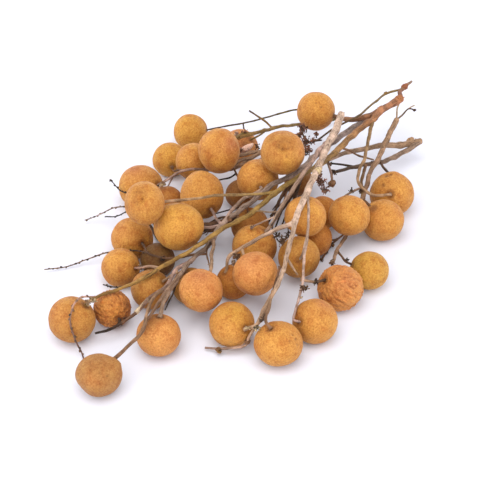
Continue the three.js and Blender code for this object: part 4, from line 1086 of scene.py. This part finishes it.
def stalks(clump):
    """Thin dry stalks that stand up in a clump of dried flowers, and bend."""
    _, spot, spread, count, colour, end_colour = clump
    random = np.random.default_rng(int(STALK_SEED + count + 10 * abs(spot[0])))
    made = []
    for _ in range(max(2, count // FLOWERS_PER_STALK)):
        heading = random.normal(size=3)
        heading /= np.linalg.norm(heading)
        bend = np.cross(heading, random.normal(size=3)) * STALK_BEND
        root = np.array(spot, float)
        route = [root, root + (heading * STALK_MIDDLE + bend) * spread, root + heading * spread * STALK_REACH]
        made.append(twig(*STALK_WIDTHS, [tuple(point) for point in route], colour, end_colour))
    return made


def brush(start, end, count):
    """Thin dead twigs that fan out from one spot towards another, and end over the table."""
    random = np.random.default_rng(int(BRUSH_SEED + count + abs(end[0])))
    made = []
    for _ in range(count):
        root = np.array(start) + random.normal(0, BRUSH_ROOTS, 3)
        tip = np.array(end) + random.normal(0, 1, 3) * BRUSH_SPREAD
        tip[2] = max(tip[2], LOWEST_TIP)
        middle = (root + tip) / 2 + random.normal(0, BRUSH_BEND, 3)
        # Their dark browns stand partly for twigs and partly for the shade in the gaps (painted shade).
        colour = mixed(BROWN_WOOD, DRY_BROWN, random.random())
        width = random.uniform(*BRUSH_WIDTHS)
        route = [tuple(root), tuple(middle), tuple(tip)]
        made.append(twig(width, BRUSH_TAPER * width, route, colour, DRY_BROWN))
    return made


# How far the colours and the grain of one twig are shifted against the next, as a share and in millimetres.
COLOUR_SHIFT = 0.02
GRAIN_SHIFT = 37.0

# How much the grain is stretched: round the twig, and along it.
GRAIN_AROUND = 2.2
GRAIN_ALONG = 90.0


def centre_lines(twigs):
    """A mesh of the twigs' centre lines, with thickness, colour and distance stored along them."""
    spots, edges, thickness, colours, along = [], [], [], [], []
    random = np.random.default_rng(len(twigs))
    for one in twigs:
        line = smooth_route(routed(one), TWIG_STEP)
        lengths = distances(line)
        first = len(spots)
        spots.extend(swaying(line, lengths, one["width"], random))
        edges.extend((first + i, first + i + 1) for i in range(len(line) - 1))
        thickness.extend(uneven_width(one, lengths, random))
        share = np.clip(lengths / lengths[-1] + random.normal(0, COLOUR_SHIFT), 0, 1)[:, None]
        colours.extend(np.array(one["colour"]) * (1 - share) + np.array(one["end_colour"]) * share)
        along.extend(lengths + GRAIN_SHIFT * random.random())
    mesh = bpy.data.meshes.new("centre_lines")
    mesh.from_pydata([place(spot) for spot in spots], edges, [])
    for name, values in (("thickness", thickness), ("along", along)):
        layer = mesh.attributes.new(name, "FLOAT", "POINT")
        layer.data.foreach_set("value", np.array(values, np.float32) * MM)
    store_colour(mesh, "bark", np.array(colours))
    return mesh


def grain_spot(tree, around, along):
    """A place in the grain: round the twig in X and Y, along it in Z, stretched lengthwise."""
    lengthwise = add_node(tree, "ShaderNodeCombineXYZ")
    feed(tree, lengthwise.inputs["Z"], calculate(tree, "MULTIPLY", along, GRAIN_ALONG))
    across = calculate_vector(tree, "SCALE", around, scale=GRAIN_AROUND)
    return calculate_vector(tree, "ADD", across, lengthwise.outputs[0])


def tube_tree():
    """Geometry Nodes: rough round wood along centre lines, with the direction of its grain stored on it."""
    tree, start, end = new_tree(
        "Round Wood", "GeometryNodeTree",
        [("Geometry", "NodeSocketGeometry"), ("Sides", "NodeSocketInt"), ("Unevenness", "NodeSocketFloat"),
         ("Unevenness Scale", "NodeSocketFloat"), ("Ridges", "NodeSocketFloat"),
         ("Material", "NodeSocketMaterial")],
        [("Geometry", "NodeSocketGeometry")])
    line = add_node(tree, "GeometryNodeMeshToCurve")
    feed(tree, line.inputs["Mesh"], start.outputs["Geometry"])
    width = read_attribute(tree, "thickness", "FLOAT")
    spot = add_node(tree, "GeometryNodeInputPosition").outputs[0]
    swells = calculate(tree, "SUBTRACT", noise(tree, spot, start.outputs["Unevenness Scale"], 2.0), 0.5)
    radius_share = calculate(tree, "MULTIPLY_ADD", swells, start.outputs["Unevenness"], 0.5)
    ring = add_node(tree, "GeometryNodeCurvePrimitiveCircle", mode="RADIUS")
    feed(tree, ring.inputs["Resolution"], start.outputs["Sides"])
    set_inputs(ring, Radius=1.0)
    marked_ring = write_attribute(tree, ring.outputs[0], "round", "FLOAT_VECTOR", spot)
    wood = add_node(tree, "GeometryNodeCurveToMesh")
    feed(tree, wood.inputs["Curve"], line.outputs[0])
    feed(tree, wood.inputs["Scale"], calculate(tree, "MULTIPLY", width, radius_share))
    feed(tree, wood.inputs["Profile Curve"], marked_ring)
    set_inputs(wood, Fill_Caps=True)
    around, along = read_attribute(tree, "round", "FLOAT_VECTOR"), read_attribute(tree, "along", "FLOAT")
    grain = grain_spot(tree, around, along)
    ridges = centred(tree, noise(tree, grain, *RIDGE_NOISE), start.outputs["Ridges"])
    rough = pushed_out(tree, wood.outputs[0], calculate(tree, "MULTIPLY", ridges, width))
    finish_tree(tree, start, end, rough)
    return tree


def bark_pattern():
    """Shader group: lengthwise grain over a base colour, as a colour and a height."""
    tree, start, end = new_tree(
        "Bark Pattern", "ShaderNodeTree",
        [("Base Colour", "NodeSocketColor"), ("Round", "NodeSocketVector"), ("Along", "NodeSocketFloat")],
        [("Colour", "NodeSocketColor"), ("Height", "NodeSocketFloat")])
    spot = add_node(tree, "ShaderNodeTexCoord").outputs["Object"]
    grain = grain_spot(tree, start.outputs["Round"], start.outputs["Along"])
    streaks = noise(tree, grain, 2.3, 4.0, 0.65)
    patches = noise(tree, spot, 140.0, 3.0, 0.6)
    fine = noise(tree, spot, 1500.0, 2.0, 0.6)
    base = start.outputs["Base Colour"]
    dark = tinted(tree, 1.0, base, (0.26, 0.22, 0.22))
    pale = tinted(tree, 1.0, base, (1.55, 1.58, 1.70))
    colour = blend_colours(tree, remap(tree, streaks, 0.36, 0.54), dark, base)
    for factor, layer in (
            (remap(tree, patches, 0.45, 0.66, 0.0, 0.9), pale),
            (remap(tree, streaks, 0.58, 0.70, 0.0, 0.7), pale),
            (remap(tree, fine, 0.58, 0.70, 0.0, 0.6), dark)):
        colour = blend_colours(tree, factor, colour, layer)
    feed(tree, end.inputs["Colour"], colour)
    feed(tree, end.inputs["Height"], calculate(tree, "ADD", streaks, calculate(tree, "MULTIPLY", fine, 0.4)))
    return tree


# The record slot of each bark, and how dull it is.
BARK_ROUGHNESS = {
    "olive_bark": 0.62, "grey_bark": 0.75, "pale_bark": 0.70, "tan_bark": 0.72, "dark_twig": 0.80,
}


def bark_material(name, roughness, pattern_tree):
    """Bark whose colour is stored along the twigs."""
    material, tree, shader = empty_material(name)
    pattern = add_node(tree, "ShaderNodeGroup", node_tree=pattern_tree)
    feed(tree, pattern.inputs["Base Colour"], named_attribute(tree, "bark").outputs["Color"])
    feed(tree, pattern.inputs["Round"], named_attribute(tree, "round").outputs["Vector"])
    feed(tree, pattern.inputs["Along"], named_attribute(tree, "along").outputs["Fac"])
    feed(tree, shader.inputs["Base Color"], pattern.outputs["Colour"])
    feed(tree, shader.inputs["Normal"], bumped(tree, pattern.outputs["Height"], 0.6 * MM, 0.9))
    set_inputs(shader, Roughness=roughness, Specular_IOR_Level=0.3)
    return material


def dry_twigs(node_name):
    """All the dry stalks and dead twigs that grow from one stem."""
    made = [stalk for clump in CLUMPS if clump[0] == node_name for stalk in stalks(clump)]
    made += DEAD_TWIGS.get(node_name, [])
    for stem, start, end, count in BRUSHES:
        if stem == node_name:
            made += brush(start, end, count)
    return made


def make_stem(node_name, twigs, tree, material, looks):
    """One stem with all its twigs, round the node of that name."""
    piece = new_piece(f"{node_name}_wood", centre_lines([*twigs, *dry_twigs(node_name)]))
    shape_by_nodes(piece, tree, {
        "Sides": TWIG_SIDES, "Unevenness": looks.unevenness, "Unevenness Scale": UNEVENNESS_SCALE,
        "Ridges": looks.ridges, "Material": material,
    })
    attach(piece, "root")
    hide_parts(node_name)


# ---- knobs, buds and dried flowers -------------------------------------------------------------
# Dried flowers: how near the middle of their clump they may lie, their half widths in millimetres, their
# thicknesses and lengths in shares of that, and how strongly their colour keeps to the clump's first.
HUSK_SEED = 7
HUSK_NEAREST = 0.15
HUSK_SIZES = (0.35, 0.85)
HUSK_THICKNESSES = (0.25, 0.35, 0.8)
HUSK_LENGTHS = (0.8, 1.6)
HUSK_COLOUR_POWER = 1.6

# Buds: their spaces in millimetres, the turn in radians from one to the next round the twig, their shape
# in shares of the twig's thickness, how far out they sit and lean, and how dark they are.
BUD_SPACING = 2.6
BUD_SHIFT = 0.5
BUD_TURN = 2.4
BUD_SIZES = (0.5, 0.8)
BUD_SHAPE = (1, 0.8, 1.35)
BUD_SEAT = 0.45
BUD_LEAN = 0.6
BUD_DARKNESS = (0.45, 0.95)
BUD_ROUGHNESS = 0.3

# The four lumps of a knob: how far right, back and up, and how large, in the knob's radii.
KNOB_LUMPS = ((0, 0, 0, 0.85), (0.35, 0.2, 0.3, 0.62), (-0.35, 0.25, -0.2, 0.60), (0.05, -0.4, 0.25, 0.55))

# How often the balls are divided that knobs and scales, and small bits, are made from, and the scale of
# the creases on them.
KNOB_DETAIL = 4
BIT_DETAIL = 2
BIT_CREASE_SCALE = 800.0


def scatter_tree():
    """Geometry Nodes: small lumpy pieces at marked points, each with its own turn, size and colour."""
    tree, start, end = new_tree(
        "Scattered Bits", "GeometryNodeTree",
        [("Geometry", "NodeSocketGeometry"), ("Detail", "NodeSocketInt"), ("Roughness", "NodeSocketFloat"),
         ("Roughness Scale", "NodeSocketFloat"), ("Material", "NodeSocketMaterial")],
        [("Geometry", "NodeSocketGeometry")])
    bit = add_node(tree, "GeometryNodeMeshIcoSphere")
    feed(tree, bit.inputs["Subdivisions"], start.outputs["Detail"])
    spread = add_node(tree, "GeometryNodeInstanceOnPoints")
    points = add_node(tree, "GeometryNodeMeshToPoints")
    feed(tree, points.inputs["Mesh"], start.outputs["Geometry"])
    feed(tree, spread.inputs["Points"], points.outputs[0])
    feed(tree, spread.inputs["Instance"], bit.outputs["Mesh"])
    feed(tree, spread.inputs["Rotation"], read_attribute(tree, "turn", "FLOAT_VECTOR"))
    feed(tree, spread.inputs["Scale"], read_attribute(tree, "size", "FLOAT_VECTOR"))
    real = add_node(tree, "GeometryNodeRealizeInstances")
    feed(tree, real.inputs[0], spread.outputs[0])
    spot = add_node(tree, "GeometryNodeInputPosition").outputs[0]
    creases = noise(tree, spot, start.outputs["Roughness Scale"], 2.0)
    rough = pushed_out(tree, real.outputs[0], centred(tree, creases, start.outputs["Roughness"]))
    finish_tree(tree, start, end, rough)
    return tree


def marked_points(bits):
    """A mesh of points, one for each bit: its spot and half sizes in millimetres, its turn and its colour."""
    spots, sizes, turns, colours = zip(*bits)
    mesh = bpy.data.meshes.new("marked_points")
    mesh.from_pydata([place(spot) for spot in spots], [], [])
    for name, values, unit in (("size", sizes, MM), ("turn", turns, 1)):
        layer = mesh.attributes.new(name, "FLOAT_VECTOR", "POINT")
        layer.data.foreach_set("vector", np.array(values, np.float32).ravel() * unit)
    store_colour(mesh, "bark", np.array(colours))
    return mesh


def husks(clump):
    """The dried flowers and husks of a clump, some flat like petals and some thick like buds."""
    _, spot, spread, count, colour, end_colour = clump
    random = np.random.default_rng(int(HUSK_SEED + count + 13 * abs(spot[1])))
    bits = []
    for _ in range(count):
        away = random.normal(size=3)
        away *= spread * random.uniform(HUSK_NEAREST, 1.0) / np.linalg.norm(away)
        across = random.uniform(*HUSK_SIZES)
        thickness = across * random.choice(HUSK_THICKNESSES)
        size = (across, thickness, across * random.uniform(*HUSK_LENGTHS))
        turn = random.uniform(0, 2 * math.pi, 3)
        tint = mixed(colour, end_colour, random.random() ** HUSK_COLOUR_POWER)
        bits.append((np.array(spot) + away, size, turn, tint))
    return bits


def buds(one):
    """Scars and dried buds on both sides of a thin twig, at even spaces."""
    line = smooth_route(routed(one), TWIG_STEP)
    lengths = distances(line)
    random = np.random.default_rng(int(10 * lengths[-1]))
    bits = []
    for number, distance in enumerate(np.arange(BUD_SPACING, lengths[-1] - 1, BUD_SPACING)):
        at = int(np.searchsorted(lengths, distance + random.uniform(-BUD_SHIFT, BUD_SHIFT)))
        heading = Vector(line[at] - line[at - 1]).normalized()
        side = Matrix.Rotation(BUD_TURN * number, 3, heading) @ heading.orthogonal().normalized()
        width = one["width"] * random.uniform(*BUD_SIZES)
        turn = (heading + side * BUD_LEAN).to_track_quat("Z", "Y").to_euler()
        tint = mixed(one["colour"], DRY_BLACK, random.uniform(*BUD_DARKNESS))
        spot = line[at] + np.array(side) * one["width"] * BUD_SEAT
        bits.append((spot, tuple(width * share for share in BUD_SHAPE), tuple(turn), tint))
    return bits


def knob(spot, radius, colour):
    """A swollen, broken knob of wood, made of lumps that run together."""
    return [(tuple(np.array(spot) + radius * np.array(away)), (radius * size,) * 3, (0, 0, 0), colour)
            for *away, size in KNOB_LUMPS]


def husk_material():
    """Dry, dull flower husks of mixed browns."""
    material, tree, shader = empty_material("Dry Husk")
    spot = add_node(tree, "ShaderNodeTexCoord").outputs["Object"]
    colour = named_attribute(tree, "bark").outputs["Color"]
    pale = blend_colours(tree, 0.35, colour, PALE_HUSK)
    dark = blend_colours(tree, 0.6, colour, DARK_HUSK)
    speckled = blend_colours(tree, remap(tree, noise(tree, spot, 1600.0, 2.0), 0.55, 0.72), colour, pale)
    speckled = blend_colours(tree, remap(tree, noise(tree, spot, 900.0, 3.0), 0.50, 0.30), speckled, dark)
    feed(tree, shader.inputs["Base Color"], speckled)
    feed(tree, shader.inputs["Normal"], bumped(tree, noise(tree, spot, 2200.0, 3.0), 0.3 * MM, 0.7))
    set_inputs(shader, Roughness=0.85, Specular_IOR_Level=0.2)
    return material


def make_bits(name, bits, detail, roughness, tree, material):
    """One piece of many small bits."""
    piece = new_piece(name, marked_points(bits))
    shape_by_nodes(piece, tree, {
        "Detail": detail, "Roughness": roughness * MM, "Roughness Scale": BIT_CREASE_SCALE,
        "Material": material,
    })
    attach(piece, "root")


# ---- stage -------------------------------------------------------------------------------------
# Sizes and places in metres.
TABLE_HALF_SIDE = 2.0
KEY_LIGHT_SIZE = 1.1
KEY_LIGHT_SPOT = (-0.1, -0.35, 0.95)

# The room's colour, and between which heights of a look upwards its walls turn into its ceiling.
ROOM_COLOUR = (0.985, 0.985, 1.0)
CEILING_START = 0.15
CEILING_END = 0.85


def make_camera():
    """The camera in front of the bunch, looking down on it."""
    data = bpy.data.cameras.new("view")
    data.sensor_fit = "HORIZONTAL"
    data.angle = 2 * math.atan(IMAGE_SIDE / 2 / FOCAL_PIXELS)
    data.clip_start = 0.01
    camera = new_piece("view", data)
    away = Vector((0, -math.cos(CAMERA_HEIGHT_ANGLE), math.sin(CAMERA_HEIGHT_ANGLE)))
    camera.location = place((0, 0, 0)) + away * CAMERA_DISTANCE
    camera.rotation_euler = Euler((math.pi / 2 - CAMERA_HEIGHT_ANGLE, 0, 0))
    bpy.context.scene.camera = camera


def make_table(colour):
    """A plain table top."""
    side = TABLE_HALF_SIDE
    mesh = bpy.data.meshes.new("table_top")
    mesh.from_pydata([(-side, -side, 0), (side, -side, 0), (side, side, 0), (-side, side, 0)], [],
                     [(0, 1, 2, 3)])
    table = new_piece("table_top", mesh)
    material, _, shader = empty_material("White Table")
    set_inputs(shader, Base_Color=(*colour, 1), Roughness=0.9, Specular_IOR_Level=0.1)
    mesh.materials.append(material)


def make_key_light(power, colour):
    """A large round light above the bunch, that shines at the middle of the table."""
    data = bpy.data.lights.new("key_light", "AREA")
    data.shape = "DISK"
    data.size = KEY_LIGHT_SIZE
    data.energy = power
    data.color = colour
    light = new_piece("key_light", data)
    light.location = KEY_LIGHT_SPOT
    light.rotation_euler = Vector(KEY_LIGHT_SPOT).to_track_quat("Z", "Y").to_euler()


def make_world(ceiling, walls):
    """A white room whose walls shine more or less than its ceiling."""
    world = bpy.data.worlds.new("studio")
    world.use_nodes = True
    tree = world.node_tree
    background = tree.nodes["Background"]
    look = add_node(tree, "ShaderNodeSeparateXYZ")
    feed(tree, look.inputs[0], add_node(tree, "ShaderNodeTexCoord").outputs["Generated"])
    strength = remap(tree, look.outputs["Z"], CEILING_START, CEILING_END, walls, ceiling)
    set_inputs(background, Color=(*ROOM_COLOUR, 1))
    feed(tree, background.inputs["Strength"], strength)
    bpy.context.scene.world = world


# ---- properties --------------------------------------------------------------------------------
class LonganFruitLooks(bpy.types.PropertyGroup):
    """Sizes of the fruits' shape."""

    flattening: bpy.props.FloatProperty(
        name="Flattening", description="How much shorter a fruit is along its stem",
        default=0.03, subtype="FACTOR")
    stem_hollow: bpy.props.FloatProperty(
        name="Stem hollow", description="Depth of the hollow at the stem, in radii",
        default=0.045, subtype="FACTOR")
    tip_hollow: bpy.props.FloatProperty(
        name="Tip hollow", description="Depth of the hollow at the tip, in radii",
        default=0.02, subtype="FACTOR")
    lumps: bpy.props.FloatProperty(
        name="Lumps", description="Depth of the broad lumps, in radii",
        default=0.07, subtype="FACTOR")
    dimples: bpy.props.FloatProperty(
        name="Dimples", description="Depth of the small dimples, in radii",
        default=0.022, subtype="FACTOR")
    wrinkles: bpy.props.FloatProperty(
        name="Wrinkles", description="Depth of a dry fruit's wrinkles, in radii",
        default=0.06, subtype="FACTOR")
    fullness: bpy.props.FloatProperty(
        name="Fullness", description="Size against the solid fruit", default=1.0)


class LonganStemLooks(bpy.types.PropertyGroup):
    """Sizes of the stems' bark."""

    unevenness: bpy.props.FloatProperty(
        name="Unevenness", description="How much the stems' thickness varies",
        default=0.28, subtype="FACTOR")
    ridges: bpy.props.FloatProperty(
        name="Ridges", description="Depth of the bark's ridges, in thicknesses",
        default=0.22, subtype="FACTOR")
    knob_roughness: bpy.props.FloatProperty(
        name="Knob roughness", description="Depth of the lumps on knobs, in millimetres", default=0.7)
    husk_roughness: bpy.props.FloatProperty(
        name="Husk roughness", description="Depth of the creases in dry husks, in millimetres", default=0.5)


class LonganStageLooks(bpy.types.PropertyGroup):
    """The table, and the light on the bunch."""

    table_colour: bpy.props.FloatVectorProperty(
        name="Table", description="Colour of the table top", default=(0.72, 0.735, 0.82), subtype="COLOR")
    key_colour: bpy.props.FloatVectorProperty(
        name="Key light colour", description="Colour of the large light", default=(1.0, 0.985, 0.96),
        subtype="COLOR")
    key_power: bpy.props.FloatProperty(
        name="Key light", description="Power of the large light", default=10.5, unit="POWER")
    ceiling: bpy.props.FloatProperty(
        name="Ceiling", description="Brightness of the room's ceiling", default=0.3)
    walls: bpy.props.FloatProperty(
        name="Walls", description="Brightness of the room's walls", default=2.7)


# ---- operators ---------------------------------------------------------------------------------
class LONGAN_OT_fruits(bpy.types.Operator):
    """Builds the fruits"""

    bl_idname = "longan.fruits"
    bl_label = "Build Fruits"

    def execute(self, context):
        looks = context.scene.longan_fruit_looks
        tree, material = fruit_tree(), rind_material()
        for row in FRUITS:
            make_fruit(row, tree, material, looks)
        return {"FINISHED"}


class LONGAN_OT_stems(bpy.types.Operator):
    """Builds the woody stems and their twigs"""

    bl_idname = "longan.stems"
    bl_label = "Build Stems"

    def execute(self, context):
        looks = context.scene.longan_stem_looks
        tree, pattern = tube_tree(), bark_pattern()
        materials = {slot_name: bark_material(slot_name.replace("_", " ").title(), roughness, pattern)
                     for slot_name, roughness in BARK_ROUGHNESS.items()}
        for node_name, slot_name, twigs, _ in STEMS:
            make_stem(node_name, twigs, tree, materials[slot_name], looks)
        return {"FINISHED"}


class LONGAN_OT_dry_flowers(bpy.types.Operator):
    """Builds the stems' knobs, the twigs' buds, the dry scales and the clumps of dried flowers"""

    bl_idname = "longan.dry_flowers"
    bl_label = "Build Knobs and Dried Flowers"

    def execute(self, context):
        looks = context.scene.longan_stem_looks
        tree, material = scatter_tree(), husk_material()
        knob_bits = [bit for *_, knobs in STEMS for one in knobs for bit in knob(*one)]
        bud_bits = [bit for _, _, twigs, _ in STEMS for one in twigs if one["budded"] for bit in buds(one)]
        scale_bits = [(spot, size, [math.radians(angle) for angle in turn], colour)
                      for spot, size, turn, colour in SCALES]
        flower_bits = [bit for clump in CLUMPS for bit in husks(clump)]
        for name, bits, detail, roughness, slot_name in (
                ("broken_knobs", knob_bits, KNOB_DETAIL, looks.knob_roughness, "tan_bark"),
                ("twig_buds", bud_bits, BIT_DETAIL, BUD_ROUGHNESS, "dark_twig"),
                ("dry_scales", scale_bits, KNOB_DETAIL, looks.husk_roughness, "dark_twig"),
                ("dried_flowers", flower_bits, BIT_DETAIL, looks.husk_roughness, "dark_twig")):
            make_bits(name, bits, detail, roughness, tree, material)
        return {"FINISHED"}


class LONGAN_OT_stage(bpy.types.Operator):
    """Builds the table, the light, the room and the camera"""

    bl_idname = "longan.stage"
    bl_label = "Build Stage"

    def execute(self, context):
        looks = context.scene.longan_stage_looks
        make_table(looks.table_colour)
        make_key_light(looks.key_power, looks.key_colour)
        make_world(looks.ceiling, looks.walls)
        make_camera()
        context.scene.view_settings.view_transform = "Standard"
        return {"FINISHED"}


class LONGAN_PT_panel(bpy.types.Panel):
    """Lists the steps that build the longan bunch"""

    bl_idname = "LONGAN_PT_panel"
    bl_label = "Longan Bunch"
    bl_space_type = "VIEW_3D"
    bl_region_type = "UI"
    bl_category = "Longans"

    def draw(self, context):
        for operator in OPERATORS:
            self.layout.operator(operator.bl_idname)


OPERATORS = (LONGAN_OT_fruits, LONGAN_OT_stems, LONGAN_OT_dry_flowers, LONGAN_OT_stage)
LOOKS = {
    "longan_fruit_looks": LonganFruitLooks,
    "longan_stem_looks": LonganStemLooks,
    "longan_stage_looks": LonganStageLooks,
}


def register():
    """Makes the classes and the scene's properties known."""
    for cls in (*LOOKS.values(), *OPERATORS, LONGAN_PT_panel):
        bpy.utils.register_class(cls)
    for name, cls in LOOKS.items():
        setattr(bpy.types.Scene, name, bpy.props.PointerProperty(type=cls))


def unregister():
    """Takes the properties and the classes away again."""
    for name in LOOKS:
        delattr(bpy.types.Scene, name)
    for cls in reversed((*LOOKS.values(), *OPERATORS, LONGAN_PT_panel)):
        bpy.utils.unregister_class(cls)


def main():
    """Builds the whole bunch and its studio."""
    register()
    bpy.ops.longan.fruits()
    bpy.ops.longan.stems()
    bpy.ops.longan.dry_flowers()
    bpy.ops.longan.stage()


if __name__ == "__main__":
    main()
